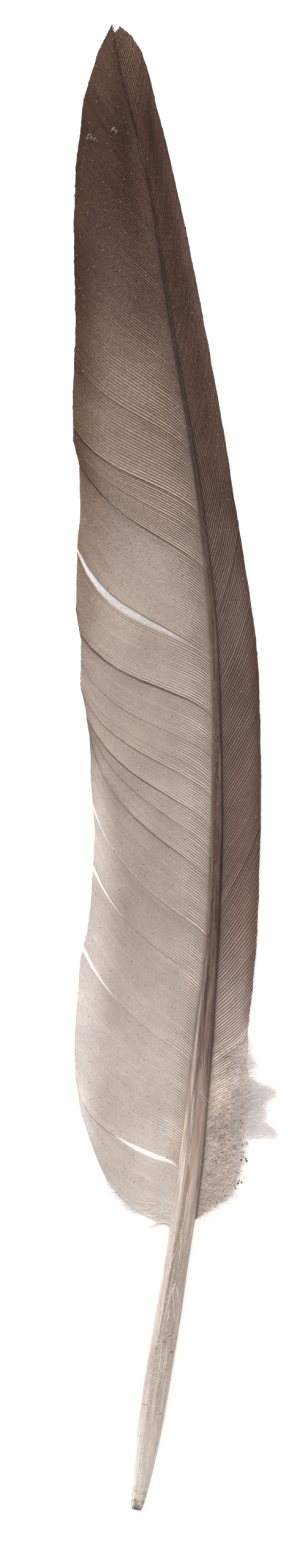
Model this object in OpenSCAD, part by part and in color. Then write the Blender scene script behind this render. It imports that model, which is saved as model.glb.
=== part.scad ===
// Flight feather of the kind that quill pens are cut from: an uncut primary,
// 300 mm long, lying on its back with the grooved side of the shaft up.
// X runs across the feather (minus X is the wide inner vane), Y along it
// towards the tip, Z up. The origin is under the middle of its box, on the
// surface that the feather lies on. "l" is the distance from the bottom of
// the quill along Y, so Y = l - 150.

/* [Horn tube] */
// Radius of the straight barrel, where a holder grips
barrel_r = 2.7; // [2.5:0.05:2.8]
// Where the straight barrel starts, along the tube
barrel_from = 24; // [22:0.5:26]
// Where the straight barrel ends, along the tube
barrel_to = 41; // [38:0.5:44]
// Wall of the horn tube
wall = 0.45; // [0.3:0.05:0.6]
// Radius of the small hole in the bottom of the tube
mouth_r = 0.55; // [0.45:0.05:0.65]

/* [Dried pulp] */
// Number of cup-shaped membranes left inside the tube
cup_n = 7; // [3:1:8]
// Thickness of one membrane
cup_t = 0.12; // [0.1:0.02:0.2]
// Radius of the strand that strings the cups together
strand_r = 0.2; // [0.15:0.05:0.25]

/* [Rachis] */
// Share of the shaft's depth taken by the groove on top
groove = 0.15; // [0.05:0.01:0.2]
// How far the tip of the feather bends up off the surface
tip_lift = 5; // [3:0.5:7]
// Spacing of the shaft's cross sections
ring_step = 5; // [4:1:8]

/* [Vanes] */
// Thickness of the web of barbs at the shaft
web_t = 0.4; // [0.3:0.05:0.5]
// How far the edge of a 25 mm wide vane rises above its root
camber = 3; // [2.5:0.1:4]
// Gap between the shaft and the barb roots
root_gap = 0.25; // [0.2:0.05:0.35]
// Spacing of the slices that a panel is made of
slice_step = 3; // [2:0.5:5]

/* [Hidden] */
length = 300;
tube_l = 58; // where the horn tube passes into the rachis
tube_x0 = -7.7; // the tube's axis at l = 0
tube_tilt = 9.15; // the tube's axis leans this far towards plus X
tube_s = tube_l / cos(tube_tilt); // length of the tube along its own axis
tube_end_r = 2.42;
mouth_s = 1.8; // thickness of the tube's closed bottom
pulp_gap = 0.08; // air between the pulp and the horn
pith_gap = 0.04;
pith_from = 34; // the pith's point, inside the tube
pith_to = 240; // past here the rachis is solid horn
ring_n = 16; // points in one cross section of the rachis
barb_n = 8; // steps along a barb
edge_t = 0.22; // thickness of the web at its outer edge
pull = 0.38; // reach of a barb's two curve handles, of its chord
split_root = 0.15; // half the gap of a split, at the root
split_edge = 0.4; // and at the edge, where the barbs run steeply

// Centre line of the shaft: X every 30 mm
axis_step = 30;
axis_table = [-7.7, -2.87, 1.96, 5.3, 7.9, 8.65, 7.75, 4.4, -0.6, -5.5, -12.4];
// Width and depth of the rachis, and the height of its underside
width_table = [[58, 4.84], [70, 4.75], [80, 4.2], [97, 3.7], [107, 2.95], [122, 2.35],
    [140, 2.2], [155, 1.7], [180, 1.45], [200, 1.05], [230, 0.7], [260, 0.45], [299, 0.16]];
depth_table = [[58, 4.84], [80, 4.4], [100, 3.8], [120, 3.2], [150, 2.6], [180, 2.1],
    [210, 1.6], [240, 1.15], [270, 0.75], [299, 0.3]];
skin_table = [[58, 0.45], [120, 0.4], [200, 0.2], [240, 0.12]];
// Outer edges of the two vanes and of the down, as [l, X]
inner_edge = [[78, -18.2], [82, -19.2], [87, -20.1], [95, -20.3], [102, -19.8], [112, -19.1],
    [117, -17.7], [122, -17.1], [137, -16.1], [147, -16.9], [156, -17.1], [161, -17.9],
    [166, -19.1], [176, -18.9], [182, -20], [196, -19.7], [201, -19], [211, -19.3],
    [216, -20.5], [226, -20.7], [240, -20], [260, -20.5], [271, -20.1], [280, -19],
    [285, -18.4], [290, -17.1], [295, -15.3], [298, -13.8], [300.4, -12.6]];
outer_edge = [[90, 14.4], [97, 14.8], [107, 16], [112, 16.5], [122, 17], [137, 17.5],
    [152, 17.5], [166, 17.2], [176, 16.6], [186, 15.1], [201, 12.7], [216, 10.4],
    [236, 6.8], [256, 3], [275, -1.3], [285, -3.9], [290, -5.1], [295, -6.7], [298, -8.7], [300, -11.4]];
outer_down_edge = [[58.5, 4.2], [61, 9], [65, 13.5], [71, 15.6], [77, 19.8], [84, 20.2],
    [90, 15.5], [97, 14.6]];
inner_down_edge = [[55, -2.5], [59, -4.5], [63, -3.5]];
// Slope of a barb where it leaves the shaft
inner_slope = [[57, 20], [70, 24], [90, 33], [200, 32], [245, 42], [270, 50], [298, 66]];
outer_slope = [[58, 20], [92, 38], [108, 44], [121, 60], [180, 68], [230, 76], [298, 84]];
// Barbs that bound the panels: [root l, edge l, slope at the edge, sag of the middle]
inner_1 = [[201.8, 219, 58, 0], [244, 265.6, 70, 0], [267, 286, 76, 0], [286, 296, 80, 0],
    [298, 300.4, 84, 0]];
inner_2 = [[190.6, 212, 60, 0], [201.8, 219, 62, 0]];
inner_3 = [[172.6, 194.5, 66, 0], [190.6, 212, 62, 0]];
inner_4 = [[160.8, 177.5, 58, 0], [172.2, 192.4, 66, 1.2]];
inner_5 = [[138.5, 160.6, 64, 0], [160.8, 177.5, 60, 0.3]];
inner_6 = [[128, 157.6, 80, 0], [138.5, 160.6, 68, 0]];
inner_7 = [[106.9, 129.8, 66, 0], [128, 157.6, 80, 0]];
inner_8 = [[71.5, 86.5, 72, -0.3], [90.8, 113.6, 62, 0], [106.9, 129.8, 66, 0]];
inner_9 = [[57.6, 79.5, 76, 0], [71.5, 86.5, 72, 0.3]];
outer_1 = [[180, 199, 82, 0], [231, 252, 84, 0], [270, 288, 85, 0], [290, 298, 86, 0],
    [298, 299.8, 87, 0]];
outer_2 = [[121.3, 139, 72, 0], [137, 152, 72, 0], [180, 199, 82, 0]];
outer_3 = [[92.5, 99, 52, 0], [108, 118.5, 56, 0], [121.3, 139, 72, 0]];
down_outer = [[58.5, 60.5, 10, 0], [66, 70, 30, 0], [78, 83, 40, 0], [92.5, 96.5, 46, 0]];
down_inner = [[55.4, 55.8, -20, 0], [57.2, 59.5, 30, 0.4]];

function lengthwise(l) = l - length / 2;

// Smooth curve through evenly spaced values
function through(t, a, b, c, d) = 0.5 * (2 * b + (c - a) * t
    + (2 * a - 5 * b + 4 * c - d) * t * t + (3 * b - a - 3 * c + d) * t * t * t);
function axis_x(l) = let (last = len(axis_table) - 1,
    i = max(0, min(last - 1, floor(l / axis_step))), t = l / axis_step - i)
    through(t, i == 0 ? 2 * axis_table[0] - axis_table[1] : axis_table[i - 1],
        axis_table[i], axis_table[i + 1], axis_table[min(last, i + 2)]);
function lean(l) = l <= tube_l ? tube_tilt : atan(axis_x(l + 0.5) - axis_x(l - 0.5));
function width(l) = lookup(l, width_table);
function depth(l) = lookup(l, depth_table);
function belly(l) = lookup(l, [[58, barrel_r - tube_end_r], [75, 0]])
    + tip_lift * pow(max(l - 200, 0) / 100, 2);
function root_z(l) = belly(l) + 0.32 * depth(l);

// Horn tube: radius outside, along its own axis
tube_table = [[0, 0.95], [0.8, 1.25], [3, 1.6], [7.5, 2.05], [12.5, 2.38], [18, 2.6],
    [barrel_from, barrel_r], [barrel_to, barrel_r], [48, 2.5], [tube_s, tube_end_r]];
function lumen_r(s) = lookup(s, [[mouth_s, mouth_r], [3, 1.6 - wall - 0.1],
    for (p = tube_table) if (p[0] > 3) [p[0], p[1] - wall]]);

module along_tube(s) {
    translate([tube_x0, lengthwise(0), barrel_r])
        rotate([0, 0, -tube_tilt])
            rotate([-90, 0, 0])
                translate([0, 0, s])
                    children();
}

// One cross section of the rachis: round at the tube, squarer with a groove further on
function section(l, inset) = let (w = width(l) / 2, h = depth(l) / 2, a = lean(l),
    m = lookup(l, [[tube_l, 0], [76, 1]]), p = 1 - 0.3 * m,
    kw = (w - inset) / w, kh = (h - inset) / h)
    [for (i = [0 : ring_n - 1]) let (q = 360 * i / ring_n,
        x = w * sign(cos(q)) * pow(abs(cos(q)), p),
        dip = sin(q) > 0 ? groove * m * 2 * h * max(0, 1 - pow(x / (0.6 * w), 2)) : 0,
        z = h * sign(sin(q)) * pow(abs(sin(q)), p) - dip)
        [axis_x(l) + kw * x * cos(a), lengthwise(l) - kw * x * sin(a), belly(l) + h + kh * z]];

// Faces between two loops of n points that start at a and b
function band(a, b, n, out) = [for (i = [0 : n - 1]) let (j = (i + 1) % n)
    each out ? [[a + i, a + j, b + j], [a + i, b + j, b + i]]
        : [[a + i, b + j, a + j], [a + i, b + i, b + j]]];
function lid(a, n, up) = [for (i = [1 : n - 2]) up ? [a, a + i, a + i + 1] : [a, a + i + 1, a + i]];

// Closed rod through a list of loops of ring_n points
module rod(loops) {
    last = len(loops) - 1;
    polyhedron([for (r = loops) each r],
        [for (i = [0 : last - 1]) each band(i * ring_n, (i + 1) * ring_n, ring_n, false),
            each lid(0, ring_n, true),
            each lid(last * ring_n, ring_n, false)],
        convexity = 6);
}

// Blind tube: outer loops from the mouth to the closed end, then inner loops the same way
module shell(outer, inner) {
    a = len(outer) - 1;
    b = len(inner) - 1;
    base = (a + 1) * ring_n;
    polyhedron([for (r = outer) each r, for (r = inner) each r],
        [for (i = [0 : a - 1]) each band(i * ring_n, (i + 1) * ring_n, ring_n, false),
            each lid(a * ring_n, ring_n, false),
            for (i = [0 : b - 1])
                each band(base + i * ring_n, base + (i + 1) * ring_n, ring_n, true),
            each lid(base + b * ring_n, ring_n, true),
            each band(0, base, ring_n, true)],
        convexity = 8);
}

// A barb is one cubic curve from its root beside the shaft to the vane's edge
function column(rows, c, l) = lookup(l, [for (r = rows) [r[0], r[c]]]);
function cubic(a, b, c, d, u) = pow(1 - u, 3) * a + 3 * u * pow(1 - u, 2) * b
    + 3 * u * u * (1 - u) * c + pow(u, 3) * d;
function barb(side, rows, edge, slope, l, shift, u) = let (
    t = column(rows, 1, l) + shift * split_edge, e = column(rows, 2, l),
    r = l + shift * split_root, s = lookup(l, slope),
    a = [axis_x(r) + side * (width(r) / 2 + root_gap), r],
    d = [lookup(t, edge), t],
    c = pull * norm(d - a),
    p = cubic(a, a + c * [side * cos(s), sin(s)], d - c * [side * cos(e), sin(e)], d, u))
    [p[0], lengthwise(p[1]) - column(rows, 3, l) * sin(180 * u),
        root_z(r) + camber * pow(abs(p[0] - a[0]) / 25, 1.6)];

// One panel of barbs that hold together, as a thin curved plate
module web(side, rows, edge, slope, root_t, rim_t) {
    from = rows[0][0];
    to = rows[len(rows) - 1][0];
    n = max(3, ceil((to - from) / slice_step));
    mid = [for (i = [0 : n]) [for (j = [0 : barb_n])
        barb(side, rows, edge, slope, from + (to - from) * i / n, 1 - 2 * i / n, j / barb_n)]];
    half = [for (j = [0 : barb_n]) (root_t + (rim_t - root_t) * j / barb_n) / 2];
    k = barb_n + 1;
    low = (n + 1) * k;
    flip = side > 0;
    grid = [for (i = [0 : n - 1]) for (j = [0 : barb_n - 1]) let (p = i * k + j)
        each [[p, p + k, p + k + 1], [p, p + k + 1, p + 1]]];
    under = [for (f = grid) [f[2] + low, f[1] + low, f[0] + low]];
    rim = [for (j = [0 : barb_n]) j, for (i = [1 : n]) i * k + barb_n,
        for (j = [barb_n - 1 : -1 : 0]) n * k + j, for (i = [n - 1 : -1 : 1]) i * k];
    wall = [for (i = [0 : len(rim) - 1]) let (p = rim[i], q = rim[(i + 1) % len(rim)])
        each [[p, q, q + low], [p, q + low, p + low]]];
    faces = concat(grid, under, wall);
    polyhedron([for (r = mid) for (j = [0 : barb_n]) r[j] + [0, 0, half[j]],
            for (r = mid) for (j = [0 : barb_n]) r[j] - [0, 0, half[j]]],
        flip ? [for (f = faces) [f[0], f[2], f[1]]] : faces,
        convexity = 6);
}
module inner_panel(rows) {
    web(-1, rows, inner_edge, inner_slope, web_t, edge_t);
}
module outer_panel(rows) {
    web(1, rows, outer_edge, outer_slope, web_t, edge_t);
}

// Horn tube, open at both ends: a pinhole at the bottom, full width into the rachis
module calamus() {
    color("#d8c7b6")
        along_tube(0)
            rotate_extrude($fn = 64)
                polygon([[mouth_r, 0],
                    for (p = tube_table) [p[1], p[0]],
                    for (i = [len(tube_table) - 1 : -1 : 3])
                        [tube_table[i][1] - wall, tube_table[i][0]],
                    [lumen_r(3), 3],
                    [mouth_r, mouth_s]]);
}

// Scab of dried tissue that closes the pinhole
module umbilicus_plug() {
    color("#7d6350")
        along_tube(0)
            rotate_extrude($fn = 32)
                polygon([[0, 0.2], [mouth_r - 0.05, 0.2], [mouth_r - 0.05, 2.5],
                    [mouth_r + 0.15, 2.7], [mouth_r + 0.15, 3.1], [0, 3.5]]);
}

// Row of thin cups that the growing pulp left behind as it dried back
module pulp_cups() {
    cup_from = 6;
    cup_step = 26 / cup_n;
    rise = 1.5;
    hole = strand_r + 0.1;
    for (i = [0 : cup_n - 1]) {
        s = cup_from + i * cup_step;
        r = lumen_r(s) - pulp_gap;
        color("#eadfce")
            along_tube(s)
                rotate_extrude($fn = 48)
                    polygon([for (j = [0 : 6]) let (x = r + (hole - r) * j / 6)
                            [x, rise * (1 - pow(x / r, 2))],
                        for (j = [6 : -1 : 0]) let (x = r + (hole - r) * j / 6)
                            [x, rise * (1 - pow(x / r, 2)) + cup_t]]);
    }
}

// Strand that runs through the cups
module pulp_strand() {
    color("#e4d6c2")
        along_tube(4.2)
            cylinder(r = strand_r, h = pith_from - 5, $fn = 24);
}

// Horn skin of the rachis, open into the tube and solid towards the tip
module rachis_cortex() {
    color("#a08a7b")
        shell([for (l = [tube_l : ring_step : 299]) section(l, 0), section(299, 0)],
            [for (l = [tube_l : ring_step : pith_to]) section(l, lookup(l, skin_table))]);
}

// White foam core, with a point that reaches down into the horn tube
module rachis_pith() {
    root_r = tube_end_r - wall - pith_gap;
    point = [for (l = [pith_from : 4 : tube_l - 2])
        let (r = 0.25 + (root_r - 0.25) * (l - pith_from) / (tube_l - pith_from))
        [for (i = [0 : ring_n - 1]) let (q = 360 * i / ring_n)
            [axis_x(l) + r * cos(q) * cos(tube_tilt),
                lengthwise(l) - r * cos(q) * sin(tube_tilt), barrel_r + r * sin(q)]]];
    color("#efe6da")
        rod(concat(point, [for (l = [tube_l : ring_step : pith_to - 1])
            section(l, lookup(l, skin_table) + pith_gap)]));
}

// Inner vane, in the nine panels that its splits leave, from the tip down
module inner_vane_1() {
    color("#5d4539") inner_panel(inner_1);
}
module inner_vane_2() {
    color("#8f7565") inner_panel(inner_2);
}
module inner_vane_3() {
    color("#9a8172") inner_panel(inner_3);
}
module inner_vane_4() {
    color("#a5907f") inner_panel(inner_4);
}
module inner_vane_5() {
    color("#b09c8f") inner_panel(inner_5);
}
module inner_vane_6() {
    color("#b8a598") inner_panel(inner_6);
}
module inner_vane_7() {
    color("#c0aea3") inner_panel(inner_7);
}
module inner_vane_8() {
    color("#c9bab0") inner_panel(inner_8);
}
module inner_vane_9() {
    color("#d6cac2") inner_panel(inner_9);
}

// Outer vane, in three panels
module outer_vane_1() {
    color("#523d33") outer_panel(outer_1);
}
module outer_vane_2() {
    color("#6e584e") outer_panel(outer_2);
}
module outer_vane_3() {
    color("#8d776b") outer_panel(outer_3);
}

// Loose down below the vanes, as one soft lump on each side
module outer_down() {
    color("#c6b9b0") web(1, down_outer, outer_down_edge, outer_slope, 1.2, 0.6);
}
module inner_down() {
    color("#e2dcd8") web(-1, down_inner, inner_down_edge, inner_slope, 0.8, 0.4);
}

calamus();
umbilicus_plug();
pulp_cups();
pulp_strand();
rachis_cortex();
rachis_pith();
inner_vane_1();
inner_vane_2();
inner_vane_3();
inner_vane_4();
inner_vane_5();
inner_vane_6();
inner_vane_7();
inner_vane_8();
inner_vane_9();
outer_vane_1();
outer_vane_2();
outer_vane_3();
outer_down();
inner_down();
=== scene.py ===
# %% [markdown]
# # An uncut quill
# This lesson builds one wing feather, 300 mm long, of the kind that quill pens
# are cut from. It lies on its back, so the groove in its shaft faces up. The
# engineering model already fixes every size, so here the work is in the looks:
# about seven hundred barbs, the horn of the shaft, and the loose down at its foot.

# %% Open the frame
import math

import bmesh
import bpy
import numpy as np
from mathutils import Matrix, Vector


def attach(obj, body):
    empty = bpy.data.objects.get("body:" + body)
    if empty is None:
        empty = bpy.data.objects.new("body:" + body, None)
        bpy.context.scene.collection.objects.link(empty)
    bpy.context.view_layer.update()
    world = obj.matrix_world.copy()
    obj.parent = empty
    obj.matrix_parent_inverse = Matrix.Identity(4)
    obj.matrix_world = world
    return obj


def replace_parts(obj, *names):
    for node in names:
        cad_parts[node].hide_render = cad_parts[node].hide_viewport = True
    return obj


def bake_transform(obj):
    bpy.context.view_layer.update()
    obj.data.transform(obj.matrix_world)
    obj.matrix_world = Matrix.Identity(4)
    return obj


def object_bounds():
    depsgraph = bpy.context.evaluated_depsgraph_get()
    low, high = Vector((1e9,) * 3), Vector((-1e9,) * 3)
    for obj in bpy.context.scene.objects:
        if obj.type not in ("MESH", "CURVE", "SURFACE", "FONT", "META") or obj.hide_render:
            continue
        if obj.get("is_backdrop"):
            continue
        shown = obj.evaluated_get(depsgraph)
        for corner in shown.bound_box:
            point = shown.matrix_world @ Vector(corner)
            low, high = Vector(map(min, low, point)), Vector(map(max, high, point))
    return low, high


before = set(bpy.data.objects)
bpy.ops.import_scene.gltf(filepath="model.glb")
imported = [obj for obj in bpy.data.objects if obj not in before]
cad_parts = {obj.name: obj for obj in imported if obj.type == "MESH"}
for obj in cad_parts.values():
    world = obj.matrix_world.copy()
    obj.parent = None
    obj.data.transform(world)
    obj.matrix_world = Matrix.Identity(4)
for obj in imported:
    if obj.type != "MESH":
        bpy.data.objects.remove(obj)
cad_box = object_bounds()
MM = 0.001  # every size below is in millimetres until it goes into a mesh
HALF = 150  # the feather's length is counted from the quill's end, Y from its middle

# %% [markdown]
# ## A table to lay it on
# A feather shows its whole outline from straight above, on white paper. A long
# lens keeps both ends square to the eye. One broad lamp stands high on the
# upper left, so that every ridge has a bright and a dark side, and a white room
# fills the shadows. The colours are to stay as they are mixed, so they are
# shown without a film curve.

# %% Camera, floor and light
sensor, lens, seen = 36, 150, 317.07  # millimetres; seen is the height in view
aim = (-5.27, -3.29, 2.7)  # millimetres; the middle of the view
eye = bpy.data.cameras.new("eye")
eye.lens, eye.sensor_width = lens, sensor
eye.clip_start, eye.clip_end = 0.05, 20
camera = bpy.data.objects.new("eye", eye)
camera.location = (aim[0] * MM, aim[1] * MM, (aim[2] + seen * lens / sensor) * MM)
bpy.context.collection.objects.link(camera)
bpy.context.scene.camera = camera

bpy.ops.mesh.primitive_plane_add(size=6, location=(0, 0, -0.1 * MM))
floor = bpy.context.object
floor.name = "white_paper"
floor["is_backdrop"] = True

lamp = bpy.data.lights.new("broad lamp", "SUN")
lamp.energy, lamp.angle = 2.5, math.radians(20)
lamp_stand = bpy.data.objects.new("broad_lamp", lamp)
lamp_stand.rotation_euler = (math.radians(-42), math.radians(-13), 0)
bpy.context.collection.objects.link(lamp_stand)

room = bpy.data.worlds.new("white room")
room.use_nodes = True
room.node_tree.nodes["Background"].inputs["Color"].default_value = (1.0, 0.99, 0.98, 1)
room.node_tree.nodes["Background"].inputs["Strength"].default_value = 0.5
bpy.context.scene.world = room
bpy.context.scene.view_settings.view_transform = "Standard"
print(f"the eye is {camera.location.z:.2f} m above the table")

# %% [markdown]
# ## The feather's own rules
# A feather is grown by rule. Its shaft is a line that sways a little, with a
# width and a depth that run down to nothing. Each barb is one smooth curve
# that leaves the shaft at one slope and meets the vane's edge at another.
# With the rule in hand, a barb can be drawn anywhere, which is how seven
# hundred of them are made from a few short tables.

# %% The line of the shaft
SWAY = [-7.7, -2.87, 1.96, 5.3, 7.9, 8.65, 7.75, 4.4, -0.6, -5.5, -12.4]  # X each 30 mm
WIDTH = [[58, 4.84], [70, 4.75], [80, 4.2], [97, 3.7], [107, 2.95], [122, 2.35],
         [140, 2.2], [155, 1.7], [180, 1.45], [200, 1.05], [230, 0.7], [260, 0.45],
         [299, 0.16]]
DEPTH = [[58, 4.84], [80, 4.4], [100, 3.8], [120, 3.2], [150, 2.6], [180, 2.1],
         [210, 1.6], [240, 1.15], [270, 0.75], [299, 0.3]]
TUBE_END, TUBE_LEAN, BARREL = 58, 9.15, 2.7  # length, degrees, radius
CAMBER, CAMBER_AT, CAMBER_POWER = 3, 25, 1.6  # the vane's rise, 25 mm out from the shaft


def look(l, table):
    """Read a table of pairs at l."""
    return np.interp(l, [row[0] for row in table], [row[1] for row in table])


def shaft_x(l):
    """Where the middle of the shaft is across, at a length l from the quill's end."""
    x = [2 * SWAY[0] - SWAY[1]] + SWAY + [SWAY[-1]]
    l = np.asarray(l, float)
    i = np.clip(np.floor(l / 30), 0, 9).astype(int)
    t = l / 30 - i
    a, b, c, d = (np.take(x, i + k) for k in range(4))
    return 0.5 * (2 * b + (c - a) * t + (2 * a - 5 * b + 4 * c - d) * t**2
                  + (3 * b - a - 3 * c + d) * t**3)


def belly(l):
    """How high the underside of the shaft is: the tip curls up."""
    return look(l, [[58, BARREL - 2.42], [75, 0]]) + 5 * (np.maximum(l - 200, 0) / 100)**2


def root_z(l):
    """How high the barbs leave the shaft."""
    return belly(l) + 0.32 * look(l, DEPTH)


def camber(x, root_x):
    """How far the vane has risen at x, for a barb rooted at root_x."""
    return CAMBER * (np.abs(x - root_x) / CAMBER_AT)**CAMBER_POWER


print("the shaft bows", round(float(np.ptp(shaft_x(np.arange(0, 300)))), 1), "mm")

# %% Edges, slopes and splits
INNER_EDGE = [[78, -18.2], [82, -19.2], [87, -20.1], [95, -20.3], [102, -19.8],
              [112, -19.1], [117, -17.7], [122, -17.1], [137, -16.1], [147, -16.9],
              [156, -17.1], [161, -17.9], [166, -19.1], [176, -18.9], [182, -20],
              [196, -19.7], [201, -19], [211, -19.3], [216, -20.5], [226, -20.7],
              [240, -20], [260, -20.5], [271, -20.1], [280, -19], [285, -18.4],
              [290, -17.1], [295, -15.3], [298, -13.8], [300.4, -12.6]]
OUTER_EDGE = [[90, 14.4], [97, 14.8], [107, 16], [112, 16.5], [122, 17], [137, 17.5],
              [152, 17.5], [166, 17.2], [176, 16.6], [186, 15.1], [201, 12.7],
              [216, 10.4], [236, 6.8], [256, 3], [275, -1.3], [285, -3.9],
              [290, -5.1], [295, -6.7], [298, -8.7], [300, -11.4]]
OUTER_DOWN = [[58.5, 4.2], [61, 9], [65, 13.5], [71, 15.6], [77, 19.8], [84, 20.2],
              [90, 15.5], [97, 14.6]]
INNER_DOWN = [[55, -2.5], [59, -4.5], [63, -3.5]]
INNER_SLOPE = [[57, 8], [70, 18], [82, 32], [100, 36], [190, 36], [215, 42], [245, 46], [270, 50],
               [298, 62]]
OUTER_SLOPE = [[58, 20], [92, 38], [108, 44], [121, 60], [180, 68], [230, 76], [298, 84]]
# Each row bounds a panel: barb's root, its end, its slope there, sag of its middle
PANELS = {
    "inner_vane_1": [[201.8, 219, 60, 0], [244, 265.6, 62, 0], [267, 286, 70, 0],
                     [286, 296, 78, 0], [298, 300.4, 84, 0]],
    "inner_vane_2": [[190.6, 212, 61, 0], [201.8, 219, 60, 0]],
    "inner_vane_3": [[172.6, 194.5, 66, 0], [190.6, 212, 61, 0]],
    "inner_vane_4": [[160.8, 177.5, 59, 0], [172.5, 193.5, 66, 1.5]],
    "inner_vane_5": [[138.5, 160.6, 66, 0], [160.8, 177.5, 59, 0]],
    "inner_vane_6": [[128, 157.6, 80, 0], [138.5, 160.6, 66, 0]],
    "inner_vane_7": [[106.9, 129.8, 66, 0], [128, 157.6, 80, 0]],
    "inner_vane_8": [[69.8, 86.5, 72, 0], [90.8, 113.6, 62, 0], [106.9, 129.8, 66, 0]],
    "inner_vane_9": [[57.6, 79.5, 76, 0], [69.8, 86.5, 72, 0]],
    "outer_vane_1": [[180, 199, 82, 0], [231, 252, 84, 0], [270, 288, 85, 0],
                     [290, 298, 86, 0], [298, 299.8, 87, 0]],
    "outer_vane_2": [[121.3, 139, 72, 0], [137, 152, 72, 0], [180, 199, 82, 0]],
    "outer_vane_3": [[92.5, 99, 52, 0], [108, 118.5, 56, 0], [121.3, 139, 72, 0]],
    "outer_down": [[58.5, 60.5, 10, 0], [66, 70, 30, 0], [78, 83, 40, 0], [92.5, 96.5, 46, 0]],
    "inner_down": [[55.4, 55.8, -20, 0], [57.2, 59.5, 30, 0.4]],
}
print(len(PANELS), "panels between the splits")

# %% [markdown]
# ## How a node is added
# Every material and tree below is written with one small function. It adds a
# node, gives it its settings, and either links an input to another node or
# types a value in. Colours are chosen as they look on a screen, and one
# function turns them into the linear light that a renderer adds up.

# %% One function for nodes, one for colours
def linear(code):
    """A colour such as "d8c7b6", as it looks on a screen, in linear light."""
    parts = [int(code[i:i + 2], 16) / 255 for i in (0, 2, 4)]
    return [c / 12.92 if c <= 0.04045 else ((c + 0.055) / 1.055)**2.4 for c in parts] + [1]


def put(tree, kind, inputs=None, stops=None, **settings):
    """Add a node; an input is a socket to link from or a value to type in."""
    node = tree.nodes.new(kind)
    for name, value in settings.items():
        setattr(node, name, value)
    for key, value in (inputs or {}).items():
        if isinstance(value, bpy.types.NodeSocket):
            tree.links.new(value, node.inputs[key])
        else:
            node.inputs[key].default_value = value
    if stops:
        marks = node.color_ramp.elements
        marks[0].position, marks[0].color = stops[0][0], linear(stops[0][1])
        marks[1].position, marks[1].color = stops[-1][0], linear(stops[-1][1])
        for place, code in stops[1:-1]:
            marks.new(place).color = linear(code)
    return node


def per(size_mm):
    """The scale of a pattern whose grains are size_mm wide."""
    return 1 / (size_mm * MM)


def material_with(name, constants):
    """A new material, its tree and its shader, with constants on the shader's own sockets."""
    made = bpy.data.materials.new(name)
    made.use_nodes = True
    shell = made.node_tree.nodes["Principled BSDF"]
    for socket, value in constants.items():
        shell.inputs[socket].default_value = value
    return made, made.node_tree, shell


# A lit table: it glows a little, so there are no hard shadows
paper, tree, shell = material_with("white drawing paper", {
    "Roughness": 0.9, "Specular IOR Level": 0.1, "Emission Color": linear("ffffff"),
    "Emission Strength": 0.5})
grain = put(tree, "ShaderNodeTexNoise", {"Scale": per(2.5), "Detail": 2})
tint = put(tree, "ShaderNodeValToRGB", {0: grain.outputs[0]},
           stops=[(0.3, "fbfbfb"), (0.7, "ffffff")])
tree.links.new(tint.outputs[0], shell.inputs["Base Color"])
floor.data.materials.append(paper)
print("white is", [round(c, 2) for c in linear("ffffff")[:3]])

# %% [markdown]
# ## One barb as a pattern
# A barb is a flat blade of keratin with a raised rib, and small hooks on its
# sides that zip it to the next one. Here it is a closed strip, one unit long
# and one unit wide: X runs from its root to its end, Y from its lower to its
# upper side, and Z is 1 on top, more than 1 on the rib, and -1 underneath.
# The tree will stretch it, so it needs only a few dozen faces.

# %% The strip
def strip(name, steps, ring):
    """A closed strip; ring lists (place across, height) round its section."""
    n = len(ring)
    places = [(k / steps)**1.5 for k in range(steps + 1)]  # closest at the root
    spots = [(u, w, z) for u in places for w, z in ring]
    faces = [(k * n + i, k * n + (i + 1) % n, (k + 1) * n + (i + 1) % n, (k + 1) * n + i)
             for k in range(steps) for i in range(n)]
    faces += [tuple(range(n))[::-1], tuple(steps * n + i for i in range(n))]
    mesh = bpy.data.meshes.new(name)
    mesh.from_pydata(spots, [], faces)
    return bpy.data.objects.new(name, mesh)


barb_strip = strip("barb_strip", 13, [(-0.03, 1), (0.3, 2), (0.64, 1.45), (1.03, 1),
                                      (1.03, -1), (-0.03, -1)])
hair_strip = strip("hair_strip", 5, [(0.5, 2), (1, -1), (0, -1)])
print("faces in a barb:", len(barb_strip.data.polygons),
      "- in a hair of down:", len(hair_strip.data.polygons))

# %% [markdown]
# ## A tree that grows barbs
# Each barb is one point that carries eight vectors: the four handles of the
# curve along its lower side, and the four along its upper side. The tree sets
# the pattern on every point, makes it real, and then moves each of its
# corners: first between the two sides, then along the curve by halving, as a
# draughtsman finds a point on a curve with a ruler. The rib's height, the
# web's thickness and the camber are inputs, so that vane and down share it.

# %% Sizes that the tree is given
grow = bpy.data.node_groups.new("barbs_from_handles", "GeometryNodeTree")
grow.is_modifier = True
for label, kind in [("Points", "Geometry"), ("Pattern", "Object"), ("Web at root", "Float"),
                    ("Web at end", "Float"), ("Rib at root", "Float"),
                    ("Rib in middle", "Float"), ("Rib at end", "Float"),
                    ("Rib fades from", "Float"), ("Rib fades to", "Float"),
                    ("Camber", "Float"), ("Hook", "Float"), ("Hook length", "Float"),
                    ("Wander", "Float"), ("Wander length", "Float"),
                    ("Seed", "Float"), ("Material", "Material")]:
    grow.interface.new_socket(label, in_out="INPUT", socket_type="NodeSocket" + kind)
grow.interface.new_socket("Barbs", in_out="OUTPUT", socket_type="NodeSocketGeometry")
given = put(grow, "NodeGroupInput").outputs
HANDLES = ["root", "first", "second", "end"]

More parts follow.
